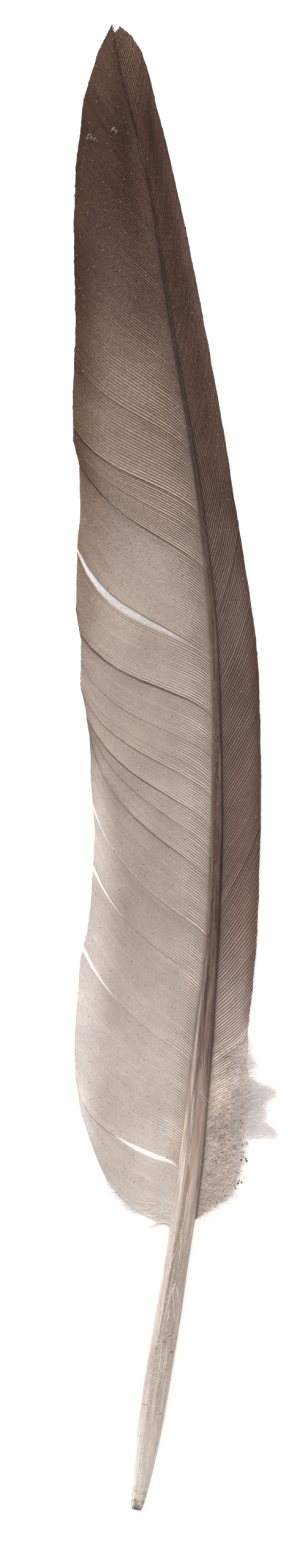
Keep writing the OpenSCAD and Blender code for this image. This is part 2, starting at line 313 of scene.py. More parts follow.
# %% A pattern on every point, made real
pattern = put(grow, "GeometryNodeObjectInfo", {"Object": given["Pattern"]})
placed = put(grow, "GeometryNodeInstanceOnPoints",
             {"Points": given["Points"], "Instance": pattern.outputs["Geometry"]})
real = put(grow, "GeometryNodeRealizeInstances", {"Geometry": placed.outputs[0]})
corner = put(grow, "GeometryNodeInputPosition")
part = put(grow, "ShaderNodeSeparateXYZ", {0: corner.outputs[0]}).outputs
kept = real.outputs[0]
for label, value in [("along", part[0]), ("across", part[1])]:
    kept = put(grow, "GeometryNodeStoreNamedAttribute",
               {"Geometry": kept, "Name": label, "Value": value}).outputs[0]
print("each corner knows its place along and across its barb")

# %% Between the two sides, then three rounds of halving along the curve
curve = []
for handle in HANDLES:
    low, high = (put(grow, "GeometryNodeInputNamedAttribute", {"Name": f"{side}_{handle}"},
                     data_type="FLOAT_VECTOR").outputs[0] for side in ("low", "high"))
    curve.append(put(grow, "ShaderNodeMix", {0: part[1], 4: low, 5: high},
                     data_type="VECTOR", clamp_factor=False).outputs[1])
start = curve[0]
while len(curve) > 1:
    curve = [put(grow, "ShaderNodeMix", {0: part[0], 4: a, 5: b},
                 data_type="VECTOR", clamp_factor=False).outputs[1]
             for a, b in zip(curve, curve[1:])]
print("nodes so far:", len(grow.nodes))

# %% Camber: the vane rises as it leaves the shaft
away = put(grow, "ShaderNodeVectorMath", {0: curve[0], 1: start}, operation="SUBTRACT")
reach = put(grow, "ShaderNodeSeparateXYZ", {0: away.outputs[0]}).outputs[0]
reach = put(grow, "ShaderNodeMath", {0: reach}, operation="ABSOLUTE").outputs[0]
reach = put(grow, "ShaderNodeMath", {0: reach, 1: CAMBER_AT * MM}, operation="DIVIDE").outputs[0]
rise = put(grow, "ShaderNodeMath", {0: reach, 1: CAMBER_POWER}, operation="POWER").outputs[0]
rise = put(grow, "ShaderNodeMath", {0: rise, 1: given["Camber"]}, operation="MULTIPLY").outputs[0]
print(f"the vane rises {CAMBER} mm in {CAMBER_AT} mm")

# %% Web and rib
web = put(grow, "ShaderNodeMapRange",
          {0: part[0], 3: given["Web at root"], 4: given["Web at end"]}).outputs[0]
skin = put(grow, "ShaderNodeMath", {0: part[2], 1: 1.0}, operation="MINIMUM").outputs[0]
skin = put(grow, "ShaderNodeMath", {0: skin, 1: 0.5}, operation="MULTIPLY").outputs[0]
rib = put(grow, "ShaderNodeMapRange",
          {0: part[0], 1: given["Rib fades from"], 2: given["Rib fades to"],
           3: given["Rib at root"], 4: given["Rib in middle"]},
          interpolation_type="SMOOTHSTEP").outputs[0]
stand = put(grow, "GeometryNodeInputNamedAttribute", {"Name": "stand"}).outputs[0]
rib = put(grow, "ShaderNodeMath", {0: stand, 1: given["Rib at root"], 2: rib},
          operation="MULTIPLY_ADD").outputs[0]
last = put(grow, "ShaderNodeMapRange", {0: part[0], 1: 0.72, 2: 0.95, 4: given["Rib at end"]},
           interpolation_type="SMOOTHSTEP").outputs[0]
rib = put(grow, "ShaderNodeMath", {0: rib, 1: last}, operation="ADD").outputs[0]
over = put(grow, "ShaderNodeMath", {0: part[2], 1: 1.0}, operation="SUBTRACT").outputs[0]
over = put(grow, "ShaderNodeMath", {0: over, 1: 0.0}, operation="MAXIMUM").outputs[0]
rib = put(grow, "ShaderNodeMath", {0: over, 1: rib, 2: rise}, operation="MULTIPLY_ADD").outputs[0]
height = put(grow, "ShaderNodeMath", {0: skin, 1: web, 2: rib}, operation="MULTIPLY_ADD").outputs[0]
print("nodes so far:", len(grow.nodes))

# %% Hook: a barb leaves the shaft steeply for its first millimetre
bent = put(grow, "ShaderNodeMath", {0: part[0], 1: given["Hook length"]}, operation="DIVIDE")
bent = put(grow, "ShaderNodeMath", {0: 0.37, 1: bent.outputs[0]}, operation="POWER").outputs[0]
bent = put(grow, "ShaderNodeMath", {0: bent, 1: given["Hook"]}, operation="MULTIPLY").outputs[0]
bent = put(grow, "ShaderNodeMath", {0: bent, 1: -1.0}, operation="MULTIPLY").outputs[0]
print("nodes so far:", len(grow.nodes))

# %% A little wandering, so that no two lie quite alike
size = put(grow, "ShaderNodeMath", {0: 1.0, 1: given["Wander length"]}, operation="DIVIDE")
noise = put(grow, "ShaderNodeTexNoise",
            {"Vector": curve[0], "W": given["Seed"], "Scale": size.outputs[0], "Detail": 2},
            noise_dimensions="4D").outputs["Color"]
noise = put(grow, "ShaderNodeVectorMath", {0: noise, 1: (0.5, 0.5, 0.5)}, operation="SUBTRACT")
free = put(grow, "ShaderNodeMapRange", {0: part[0], 2: 0.12, 3: 0.15}).outputs[0]
free = put(grow, "ShaderNodeMath", {0: free, 1: given["Wander"]}, operation="MULTIPLY").outputs[0]
drift = put(grow, "ShaderNodeVectorMath", {0: noise.outputs[0], "Scale": free},
            operation="SCALE").outputs[0]
lift = put(grow, "ShaderNodeCombineXYZ", {1: bent, 2: height}).outputs[0]
place = put(grow, "ShaderNodeVectorMath", {0: curve[0], 1: lift}, operation="ADD").outputs[0]
place = put(grow, "ShaderNodeVectorMath", {0: place, 1: drift}, operation="ADD").outputs[0]
moved = put(grow, "GeometryNodeSetPosition", {"Geometry": kept, "Position": place})
whole = put(grow, "GeometryNodeRealizeInstances", {"Geometry": moved.outputs[0]})
dressed = put(grow, "GeometryNodeSetMaterial",
              {"Geometry": whole.outputs[0], "Material": given["Material"]})
put(grow, "NodeGroupOutput", {"Barbs": dressed.outputs[0]})
print("nodes in the tree:", len(grow.nodes))

# %% [markdown]
# ## From handles to a plain mesh
# The next function gives the tree its points and sizes, lets it work, and
# keeps what it made as a plain mesh. Inputs are set by their identifiers
# before the tree first runs. Whether a strip comes out with its faces inwards
# depends on which side of the shaft it grows, so its volume is measured, and
# the faces are turned if it is negative.

# %% Growing a set of barbs
def volume(mesh):
    """Signed volume of closed shells, in cubic metres."""
    mesh.calc_loop_triangles()
    spots = np.empty(len(mesh.vertices) * 3)
    mesh.vertices.foreach_get("co", spots)
    corners = np.empty(len(mesh.loop_triangles) * 3, int)
    mesh.loop_triangles.foreach_get("vertices", corners)
    a, b, c = spots.reshape(-1, 3)[corners.reshape(-1, 3)].transpose(1, 0, 2)
    return float(np.einsum("ij,ij->", a, np.cross(b, c)) / 6)


def barbs(name, handles, tags, pattern, material, **sizes):
    """A plain mesh of barbs. handles is (number, 2 sides, 4 handles, xyz) in mm."""
    seeds = bpy.data.meshes.new(name + "_points")
    seeds.from_pydata([(0, 0, 0)] * len(handles), [], [])
    for s, side in enumerate(("low", "high")):
        for h, handle in enumerate(HANDLES):
            layer = seeds.attributes.new(f"{side}_{handle}", "FLOAT_VECTOR", "POINT")
            layer.data.foreach_set("vector", (handles[:, s, h] * MM).ravel())
    for tag, values in tags.items():
        seeds.attributes.new(tag, "FLOAT", "POINT").data.foreach_set("value", values)
    holder = bpy.data.objects.new(name + "_points", seeds)
    bpy.context.collection.objects.link(holder)
    modifier = holder.modifiers.new("barbs", "NODES")
    modifier.node_group = grow
    sockets = {item.name: item.identifier for item in grow.interface.items_tree
               if item.in_out == "INPUT"}
    sizes = {"Pattern": pattern, "Material": material, **sizes}
    for label, value in sizes.items():
        modifier[sockets[label]] = value
    drawn = holder.evaluated_get(bpy.context.evaluated_depsgraph_get())
    mesh = bpy.data.meshes.new_from_object(drawn)
    bpy.data.objects.remove(holder)
    bpy.data.meshes.remove(seeds)
    for side in ("low", "high"):
        for handle in HANDLES:
            mesh.attributes.remove(mesh.attributes[f"{side}_{handle}"])
    if volume(mesh) < 0:
        mesh.flip_normals()
    mesh.shade_smooth()
    mesh.set_sharp_from_angle(angle=math.radians(70))
    mesh.name = name
    piece = bpy.data.objects.new(name, mesh)
    bpy.context.collection.objects.link(piece)
    return piece


# %% The handles of one barb
def handles_at(side, rows, edge, slope, l, part_by=0.0, tuck=0.15, lift=0.0, reach=0.0):
    """Four handles (mm) of the barbs whose roots are at l; l and the rest may be arrays."""
    l = np.asarray(l, float)
    end, end_slope, sag = (look(l, [[row[0], row[k]] for row in rows]) for k in (1, 2, 3))
    end = end + part_by
    a, e = np.radians(look(l, slope)), np.radians(end_slope)
    root = np.stack([shaft_x(l) + side * (look(l, WIDTH) / 2 - tuck), l], -1)
    tip = np.stack([look(end, edge), end], -1)
    out = np.stack([side * np.cos(a), np.sin(a)], -1)
    into = np.stack([side * np.cos(e), np.sin(e)], -1)
    hold = 0.38 * np.linalg.norm(tip - root, axis=-1, keepdims=True)
    far = tip + into * np.asarray(reach)[..., None]
    flat = np.stack([root, root + hold * out, tip - hold * into, far], -2)
    flat[..., 1] -= HALF
    flat[..., 1:3, 1] -= sag[..., None] * np.array([0.4, 2.0])
    z = np.repeat(root_z(l)[..., None], 4, -1)
    z[..., 1:] += np.asarray(lift)[..., None] if np.ndim(lift) else lift
    return np.concatenate([flat, z[..., None]], -1)


print("a middle barb runs from", handles_at(-1, PANELS["inner_vane_5"], INNER_EDGE,
                                            INNER_SLOPE, 150.0)[[0, 3]].round(1).tolist())

# %% [markdown]
# ## The web of the vanes
# A vane is keratin, grown as barbs and stained with melanin: dark brown at the
# tip, and a pale fawn towards the quill, where little pigment was laid down.
# The eye sees a dull satin, ribs that catch the light beside the shaft, and
# streaks that run with the barbs. Colour comes from three ramps along the
# feather, for the root, the middle and the edge of the vane; each barb then
# has its own tone, and a streak noise drawn in the barbs' own directions.
# Light and shade are painted in too: pale crests and dark furrows on the ribs,
# and pale specks as glints.

# %% Keratin web
def keratin_web(name, root, middle, edge, ribs):
    """Stained keratin. The ramps' stops are (length from the quill's end, colour)."""
    made, tree, shell = material_with(
        name, {"Roughness": 0.68, "IOR": 1.54, "Specular IOR Level": 0.15})
    where = put(tree, "ShaderNodeTexCoord").outputs["Object"]
    y = put(tree, "ShaderNodeSeparateXYZ", {0: where}).outputs[1]
    share = put(tree, "ShaderNodeMapRange", {0: y, 1: -HALF * MM, 2: HALF * MM}).outputs[0]
    along, across, tone, barb, stand = (
        put(tree, "ShaderNodeAttribute", attribute_name=tag).outputs["Fac"]
        for tag in ("along", "across", "tone", "barb", "stand"))
    coats = [put(tree, "ShaderNodeValToRGB", {0: share},
                 stops=[(l / 300, code) for l, code in sorted(stops)]).outputs[0]
             for stops in (root, middle, edge)]
    near = put(tree, "ShaderNodeMapRange", {0: along, 1: 0.04, 2: 0.3},
               interpolation_type="SMOOTHSTEP").outputs[0]
    far = put(tree, "ShaderNodeMapRange", {0: along, 1: 0.6, 2: 0.95},
              interpolation_type="SMOOTHSTEP").outputs[0]
    coat = put(tree, "ShaderNodeMix", {0: near, 6: coats[0], 7: coats[1]}, data_type="RGBA")
    coat = put(tree, "ShaderNodeMix", {0: far, 6: coat.outputs[2], 7: coats[2]},
               data_type="RGBA").outputs[2]

    # Streaks 2 mm or so wide that follow the barbs, and finer ones of one barb
    slide = put(tree, "ShaderNodeMath", {0: along, 1: 3.5}, operation="MULTIPLY").outputs[0]
    order = put(tree, "ShaderNodeMath", {0: barb, 1: across}, operation="ADD").outputs[0]
    broad = put(tree, "ShaderNodeMath", {0: order, 1: 0.3}, operation="MULTIPLY").outputs[0]
    spot = put(tree, "ShaderNodeCombineXYZ", {0: slide, 1: broad}).outputs[0]
    wide_noise = put(tree, "ShaderNodeTexNoise",
                     {"Vector": spot, "Scale": 1.0, "Detail": 2}).outputs[0]
    spot = put(tree, "ShaderNodeCombineXYZ", {0: slide, 1: order}).outputs[0]
    fine = put(tree, "ShaderNodeTexNoise",
               {"Vector": spot, "Scale": 1.6, "Detail": 3, "Roughness": 0.7}).outputs[0]
    wide = put(tree, "ShaderNodeMapRange", {0: wide_noise, 1: 0.25, 2: 0.75, 3: 0.95, 4: 1.05})
    fine = put(tree, "ShaderNodeMapRange", {0: fine, 1: 0.25, 2: 0.75, 3: 0.93, 4: 1.07})
    gain = put(tree, "ShaderNodeMath", {0: wide.outputs[0], 1: fine.outputs[0]},
               operation="MULTIPLY").outputs[0]

    # Clouds of uneven pigment 11 mm wide, a sandy grain of 0.4 mm, specks of dust,
    # and pale specks that are painted glints. The grain is strongest where the keratin is dark.
    cloud = put(tree, "ShaderNodeTexNoise", {"Vector": where, "Scale": 90, "Detail": 3}).outputs[0]
    cloud = put(tree, "ShaderNodeMapRange", {0: cloud, 1: 0.3, 2: 0.7, 3: 0.88, 4: 1.12}).outputs[0]
    sand = put(tree, "ShaderNodeTexNoise", {"Vector": where, "Scale": per(0.4), "Detail": 1}).outputs[0]
    sand = put(tree, "ShaderNodeMapRange", {0: sand, 1: 0.3, 2: 0.7, 3: -1.0, 4: 1.0}).outputs[0]
    rough = put(tree, "ShaderNodeMapRange", {0: y, 1: 0.02, 2: 0.09, 3: 0.08, 4: 0.26}).outputs[0]
    sand = put(tree, "ShaderNodeMath", {0: sand, 1: rough, 2: 1.0}, operation="MULTIPLY_ADD").outputs[0]
    dust = put(tree, "ShaderNodeTexVoronoi", {"Vector": where, "Scale": 240},
               voronoi_dimensions="2D").outputs["Distance"]
    dust = put(tree, "ShaderNodeMapRange", {0: dust, 1: 0.02, 2: 0.034, 3: 0.4, 4: 1.0}).outputs[0]
    # Painted highlight: small pale specks as glints
    glint = put(tree, "ShaderNodeTexVoronoi", {"Vector": where, "Scale": 300},
                voronoi_dimensions="2D").outputs["Distance"]
    glint = put(tree, "ShaderNodeMapRange", {0: glint, 1: 0.018, 2: 0.034, 3: 0.5, 4: 0.0}).outputs[0]
    for veil in (cloud, sand, dust):
        gain = put(tree, "ShaderNodeMath", {0: gain, 1: veil}, operation="MULTIPLY").outputs[0]

    # Ribs: painted pale on the crest and dark in the furrow, as painted highlight and painted shade, most of
    # all beside the shaft
    crest = put(tree, "ShaderNodeMath", {0: across, 1: math.pi}, operation="MULTIPLY").outputs[0]
    crest = put(tree, "ShaderNodeMath", {0: crest}, operation="SINE").outputs[0]
    crest = put(tree, "ShaderNodeMath", {0: crest, 1: 0.6}, operation="SUBTRACT").outputs[0]
    slow = put(tree, "ShaderNodeMapRange", {0: y, 1: 0.03, 2: 0.06, 3: 1.0, 4: 0.3}).outputs[0]
    soon = put(tree, "ShaderNodeMapRange", {0: y, 1: -0.06, 2: -0.01, 3: 2.1, 4: 1.0}).outputs[0]
    gone = put(tree, "ShaderNodeMapRange", {0: y, 1: -0.088, 2: -0.066, 3: 4.0, 4: 1.0}).outputs[0]
    for rate in (soon, gone):
        slow = put(tree, "ShaderNodeMath", {0: slow, 1: rate}, operation="MULTIPLY").outputs[0]
    place = put(tree, "ShaderNodeMath", {0: along, 1: slow}, operation="MULTIPLY").outputs[0]
    depth = put(tree, "ShaderNodeMapRange",
                {0: place, 1: ribs[0], 2: ribs[1], 3: ribs[2], 4: ribs[3]},
                interpolation_type="SMOOTHSTEP").outputs[0]
    patchy = put(tree, "ShaderNodeMapRange", {0: wide_noise, 1: 0.3, 2: 0.7, 3: 0.55, 4: 1.3}).outputs[0]
    bold = put(tree, "ShaderNodeMapRange", {0: y, 1: 0.03, 2: 0.06, 3: 1.0, 4: 1.4}).outputs[0]
    for rate in (patchy, bold):
        depth = put(tree, "ShaderNodeMath", {0: depth, 1: rate}, operation="MULTIPLY").outputs[0]
    stand = put(tree, "ShaderNodeMath", {0: stand, 1: ribs[2]}, operation="MULTIPLY").outputs[0]
    depth = put(tree, "ShaderNodeMath", {0: stand, 1: depth}, operation="MAXIMUM").outputs[0]
    crest = put(tree, "ShaderNodeMath", {0: crest, 1: depth, 2: 1.0}, operation="MULTIPLY_ADD")
    tone = put(tree, "ShaderNodeMath", {0: tone, 1: 1.0}, operation="ADD").outputs[0]
    gain = put(tree, "ShaderNodeMath", {0: gain, 1: crest.outputs[0]}, operation="MULTIPLY")
    gain = put(tree, "ShaderNodeMath", {0: gain.outputs[0], 1: tone}, operation="MULTIPLY")
    coat = put(tree, "ShaderNodeMix", {0: 1.0, 6: coat, 7: gain.outputs[0]},
               data_type="RGBA", blend_type="MULTIPLY").outputs[2]
    coat = put(tree, "ShaderNodeMix", {0: glint, 6: coat, 7: linear("e0d6d0")},
               data_type="RGBA").outputs[2]
    tree.links.new(coat, shell.inputs["Base Color"])

    # Barbules: too fine to see, so they are drawn as a grain of about 0.2 mm
    weave = put(tree, "ShaderNodeTexNoise", {"Vector": where, "Scale": per(0.2), "Detail": 2})
    bump = put(tree, "ShaderNodeBump",
               {"Strength": 0.25, "Distance": 0.05 * MM, "Height": weave.outputs[0]})
    tree.links.new(bump.outputs[0], shell.inputs["Normal"])
    return made


inner_keratin = keratin_web(
    "inner vane keratin",
    root=[(57, "ccc0b8"), (82, "c6baaf"), (94, "beb1a7"), (107, "b6a79e"), (119, "b7a9a0"),
          (132, "b6a89f"), (156, "b2a49a"), (181, "a2928a"), (206, "928073"),
          (218, "86736a"), (231, "7a665b"), (256, "66504a"), (268, "684f45"), (280, "66504a"),
          (293, "5e483e")],
    middle=[(57, "d2c8c2"), (70, "c9bdb5"), (82, "bdb1a8"), (94, "beb1a8"), (107, "b4a69d"),
            (119, "aa9c92"), (132, "ad9e94"), (144, "ad9e94"), (156, "ab9c91"), (169, "ac9c92"),
            (181, "ad9d92"), (194, "a6958b"), (206, "9d8a7e"), (218, "8f7a6e"),
            (231, "8a7568"), (243, "6a554b"), (256, "5a453c"), (268, "4c372f"),
            (280, "4f3a31"), (293, "654e43")],
    edge=[(62, "efe9e5"), (70, "ece5e1"), (82, "e8dfda"), (95, "e4dad4"), (107, "e0d5cf"),
          (119, "cfc1ba"), (132, "d3c6be"), (141, "e6dad3"), (150, "c6b7ad"), (156, "b5a59a"),
          (169, "b2a298"), (181, "938075"), (194, "927d70"), (206, "866f62"), (218, "745d50"),
          (231, "634d40"), (243, "583f34"), (256, "503a30"), (268, "5c4538"), (280, "503a30"),
          (293, "6a5347")],
    ribs=(0.04, 0.3, 0.8, 0.05))
outer_keratin = keratin_web(
    "outer vane keratin",
    root=[(57, "d6c7be"), (82, "d7c7be"), (94, "af9e94"), (107, "9b8981"), (119, "816e64"),
          (132, "806d66"), (144, "78655c"), (181, "7b6962"), (206, "6a564d"), (231, "6a564b"),
          (243, "665147"), (268, "654c43"), (280, "624a41"), (293, "6b5449")],
    middle=[(57, "d6c7be"), (82, "ddcec5"), (94, "b9a79e"), (107, "a18f85"), (119, "826c62"),
            (132, "7e6961"), (144, "79655c"), (156, "746159"), (169, "735f57"),
            (181, "796761"), (194, "725f58"), (206, "655147"), (225, "695147"),
            (243, "624d41"), (268, "634c43"), (280, "5d463d"), (293, "6f584b")],
    edge=[(57, "d6c7be"), (90, "b6a499"), (99, "98867e"), (107, "7d695f"), (119, "685348"),
          (144, "665249"), (168, "5f4940"), (185, "654e46"), (200, "574438"), (215, "614b40"),
          (231, "695348"), (255, "6b554b"), (280, "5d463d"), (298, "6f584b")],
    ribs=(0.4, 1.0, 0.75, 0.4))
print("keratin for", inner_keratin.name, "and", outer_keratin.name)

# %% [markdown]
# ## Laying the barbs
# In the wide vane the barbs stand half a millimetre apart near the quill and
# two thirds of a millimetre apart towards the tip. In the narrow vane, which
# meets the air first, they stand up to 1.1 mm apart. Small random changes of
# place, tone and length keep them from looking combed by machine. At a split
# the barbs at its lips lie higher or lower, and their colour carries painted
# light and shade: paler where a lip is raised into the light, darker where it
# lies under its neighbour.

# %% How far apart the barbs are
draw = np.random.default_rng(300)
INNER_GAP = [[57, 0.44], [90, 0.49], [108, 0.54], [130, 0.54], [150, 0.56], [190, 0.57],
             [200, 0.6], [220, 0.64], [245, 0.65], [270, 0.6], [298, 0.55]]
OUTER_GAP = [[57, 0.55], [94, 0.65], [108, 0.8], [138, 0.85], [153, 0.88], [168, 0.97],
             [182, 1.1], [197, 1.1], [223, 0.8], [298, 0.75]]


def roots(rows, gaps):
    """Roots of a panel's barbs, from its first to its last, unevenly spaced."""
    places = [rows[0][0]]
    while places[-1] < rows[-1][0]:
        places.append(places[-1] + look(places[-1], gaps) * draw.uniform(0.82, 1.18))
    places = np.array(places)
    return rows[0][0] + (places - places[0]) * (rows[-1][0] - rows[0][0]) / np.ptp(places)


print("spacing, in mm:", min(g for _, g in INNER_GAP), "to", max(g for _, g in OUTER_GAP))

# %% Where a vane has parted
# (root, lips above it, lips below it, gap at the edge, gap near the shaft), and
# lips are (lift, fade along the shaft, tone, ribs); all lengths are in mm. A lip's
# tone is painted light and shade: above zero it is a painted highlight, below
# zero painted shade.
CREASES = {
    "inner": [(214.0, (0.10, 3.0, 0.04, 0.3), (0.0, 2.0, -0.04, 0.1), 0.0, 0.0),
              (201.8, (0.25, 1.3, 0.24, 0.7), (-0.1, 3.0, -0.08, 0.2), -0.12, -0.1),
              (196.5, (0.10, 1.5, 0.08, 0.4), (0.0, 1.0, -0.04, 0.1), 0.0, 0.0),
              (190.6, (0.3, 1.0, 0.3, 0.8), (-0.15, 3.0, -0.1, 0.4), -0.12, -0.1),
              (172.5, (0.05, 2.0, 0.04, 0.3), (0.1, 2.5, 0.04, 0.4), 0.0, 0.0),
              (160.8, (0.40, 1.5, 0.1, 0.9), (-0.2, 4.5, -0.14, 0.0), -0.16, -0.1),
              (152.0, (0.10, 2.0, 0.03, 0.3), (0.0, 1.5, -0.04, 0.1), 0.0, 0.0),
              (144.5, (0.15, 2.0, 0.05, 0.5), (0.0, 1.5, -0.07, 0.2), 0.0, 0.0),
              (138.5, (0.3, 1.2, 0.12, 0.6), (-0.1, 3.0, -0.08, 0.2), -0.12, -0.1),
              (134.0, (0.15, 1.5, 0.06, 0.4), (0.0, 1.5, -0.07, 0.2), 0.0, 0.0),
              (128.0, (0.30, 1.2, 0.2, 0.8), (-0.1, 3.5, -0.08, 0.3), -0.12, -0.1),
              (116.3, (0.05, 2.0, 0.04, 0.3), (0.0, 2.0, -0.03, 0.0), 0.4, -0.1),
              (106.9, (0.10, 2.0, 0.04, 0.2), (0.0, 2.0, -0.02, 0.0), 0.5, -0.2),
              (90.8, (0.05, 2.0, 0.04, 0.2), (0.0, 2.0, -0.02, 0.0), 0.5, -0.15),
              (69.8, (0.15, 2.0, 0.04, 0.3), (0.0, 2.0, -0.02, 0.3), -0.3, 2.0)],
    "outer": [(180.0, (0.25, 2.0, 0.26, 0.0), (-0.1, 3.0, -0.12, 0.0), -0.08, 0.0),
              (166.0, (0.10, 1.0, 0.12, 0.0), (0.0, 2.0, -0.06, 0.0), 0.0, 0.0),
              (140.0, (0.10, 1.2, 0.18, 0.0), (0.0, 2.0, -0.08, 0.0), 0.0, 0.0),
              (121.3, (0.20, 1.2, 0.3, 0.0), (-0.1, 3.0, -0.12, 0.0), -0.08, 0.0),
              (104.0, (0.10, 1.2, 0.16, 0.0), (0.0, 2.0, -0.06, 0.0), 0.0, 0.0)],
}
print("creases:", {vane: len(rows) for vane, rows in CREASES.items()})

# %% One panel of a vane
STREAK_STEP = 0.6  # along the shaft, for one step of the streaks in the keratin
VANE_SIZES = {"Web at root": 0.34 * MM, "Web at end": 0.16 * MM, "Camber": CAMBER * MM,
              "Hook": 0.8 * MM, "Hook length": 0.03, "Wander": 0.55 * MM,
              "Wander length": 7 * MM, "Seed": 3.0}


def parting(l, creases, above):
    """Lift, tone of painted light and shade, ribs, gap at the edge and gap near the shaft, for barbs rooted
    at l.
    """
    total = np.zeros((5, len(l)))
    for root, over, under, edge_gap, root_gap in creases:
        d = l - root + (1e-4 if above else -1e-4)
        for lips, here, sign in ((over, d > 0, 1), (under, d < 0, -1)):
            lift, fade, tone, ribs = lips
            fall = np.where(here, np.exp(-np.abs(d) / fade), 0)
            total += np.array([lift, tone, ribs, sign * edge_gap, sign * root_gap])[:, None] * fall
    return total


def rib_sizes(inner, lowest):
    """How proud a panel's ribs stand, and where they fade; lowest is its first root."""
    if not inner:
        return {"Rib at root": 0.26 * MM, "Rib in middle": 0.12 * MM, "Rib at end": 0.0,
                "Rib fades from": 0.4, "Rib fades to": 1.0}
    high = lowest > 190  # towards the tip the ribs stay proud right across
    return {"Rib at root": (0.2 if lowest > 60 else 0.05) * MM,
            "Rib in middle": (0.07 if high else 0.006) * MM, "Rib at end": 0.03 * MM,
            "Rib fades from": 0.05, "Rib fades to": 0.8 if high else 0.3 if lowest > 100 else 0.2}


def vane_panel(name):
    """One panel of a vane, as a plain mesh."""
    inner = name.startswith("inner")
    side, edge, slope = (-1, INNER_EDGE, INNER_SLOPE) if inner else (1, OUTER_EDGE, OUTER_SLOPE)
    rows, creases = PANELS[name], CREASES[name[:5]]
    l = roots(rows, INNER_GAP if inner else OUTER_GAP)
    for crease in creases:
        if rows[0][0] < crease[0] < rows[-1][0]:
            l[np.argmin(np.abs(l - crease[0]))] = crease[0]
    count = len(l) - 1
    ragged = np.abs(draw.normal(0, 0.12, count)) - 0.1
    both, tone, stand = [], draw.normal(0, 0.022, count), np.zeros(count)
    for k in (0, 1):
        lift, shade, ribs, edge_gap, root_gap = parting(l[k:count + k], creases, k == 0)
        h = handles_at(side, rows, edge, slope, l[k:count + k], np.minimum(edge_gap, 0),
                       lift=lift, reach=ragged)
        h[:, 1:3, 1] += root_gap[:, None] * np.array([1.0, -1.0])
        h[:, 2:, 1] += np.maximum(edge_gap, 0)[:, None] * np.array([-2.4, 1.3])
        both.append(h)
        # Each barb's random tone takes on the painted light and shade of the lips
        tone, stand = tone + shade / 2, stand + ribs / 2
    tags = {"tone": tone, "barb": l[:count] / STREAK_STEP, "stand": stand}
    piece = barbs(name + "_barbs", np.stack(both, 1), tags, barb_strip,
                  inner_keratin if inner else outer_keratin,
                  **VANE_SIZES, **rib_sizes(inner, rows[0][0]))
    return piece, count


print("a low panel's ribs stand", rib_sizes(True, 0)["Rib at root"] / MM, "mm proud")


# %% Strips of painted shade for a gap
def shade_film(low_row, high_row, root, strips=4):
    """Handles and tags of pale grey strips that fill the gap between two lips, a little lower, as painted
    shade.
    """
    both = []
    for row in (low_row, high_row):
        rows = [row, [row[0] + 1] + row[1:]]
        both.append(handles_at(-1, rows, INNER_EDGE, INNER_SLOPE, np.full(1, float(root)),
                               lift=-0.35)[0])
    shares = np.linspace(-0.12, 1.12, strips + 1)
    edges = [both[0] + (both[1] - both[0]) * share for share in shares]
    handles = np.stack([np.stack(edges[:-1]), np.stack(edges[1:])], 1)
    return handles, {"tone": np.zeros(strips), "barb": 40.0 + np.arange(strips),
                     "stand": np.zeros(strips)}


print("strips in a film:", len(shade_film(PANELS["inner_vane_4"][-1], PANELS["inner_vane_3"][0], 172.5)[0]))

# %% All the panels
panels = {}
for name in [n for n in PANELS if "vane" in n]:
    panels[name], count = vane_panel(name)
    print(f"{name}: {count} barbs, {len(panels[name].data.polygons)} faces")

# %% [markdown]
# ## Painted shade in the widest gap
# Where the widest split has opened, the barbs have drawn apart. A sheet of pale
# grey strips is laid across the gap a little below them: it is painted shade, for
# the soft shadow on the white paper there.

# %% A sheet of painted shade
shade_film_keratin = keratin_web(
    "painted gap shade",
    root=[(150, "b3a59c"), (200, "b3a59c")], middle=[(150, "d6cecb"), (200, "d6cecb")],
    edge=[(150, "efedee"), (200, "efedee")], ribs=(0.1, 0.5, 0.2, 0.0))
handles, tags = shade_film(PANELS["inner_vane_4"][-1], PANELS["inner_vane_3"][0], 172.5)
gap_shade_film = barbs("inner_vane_4_film", handles, tags, barb_strip, shade_film_keratin,
                 **{**VANE_SIZES, "Web at root": 0.08 * MM, "Web at end": 0.05 * MM,
                    "Rib at root": 0.02 * MM, "Rib fades to": 1.0})
print("strips in the film:", len(handles))

# %% [markdown]
# ## The horn of the shaft
# Quill and shaft are one piece of keratin horn: round and hollow where it
# grew in the skin, then squarer, with a groove along its inner face. It is
# made as rings set along the line of the shaft and joined. Fine furrows run
# along it, so each ring is a little uneven, and the unevenness changes slowly
# from ring to ring.

# %% Furrows in the horn
TUBE = [[0, 0.95], [0.8, 1.25], [3, 1.6], [7.5, 2.05], [12.5, 2.38], [18, 2.6], [24, 2.7],
        [41, 2.7], [48, 2.5], [58.75, 2.42]]  # radius along the tube
AROUND, STATION = 64, 0.5  # points round a ring, and mm from ring to ring
angles = np.arange(AROUND) * 2 * math.pi / AROUND
furrow_depth = draw.normal(0, 1, (4, 9))
furrow_phase = draw.uniform(0, 2 * math.pi, (4, 9))


def furrows(l):
    """Height of the fine lengthwise furrows round one ring, about -1 to 1."""
    wave = np.zeros(AROUND)
    for k in range(9):
        turns = 5 + 3 * k
        swing = furrow_depth[0, k] * 0.5 + math.sin(l / (17 + 5 * k) + furrow_phase[1, k])
        wave += swing * np.sin(turns * angles + furrow_phase[2, k] + 0.4 * math.sin(l / 40 + k))
    return wave / 5


print("furrows round the horn: 9 waves, of", *(5 + 3 * k for k in range(9)), "turns")


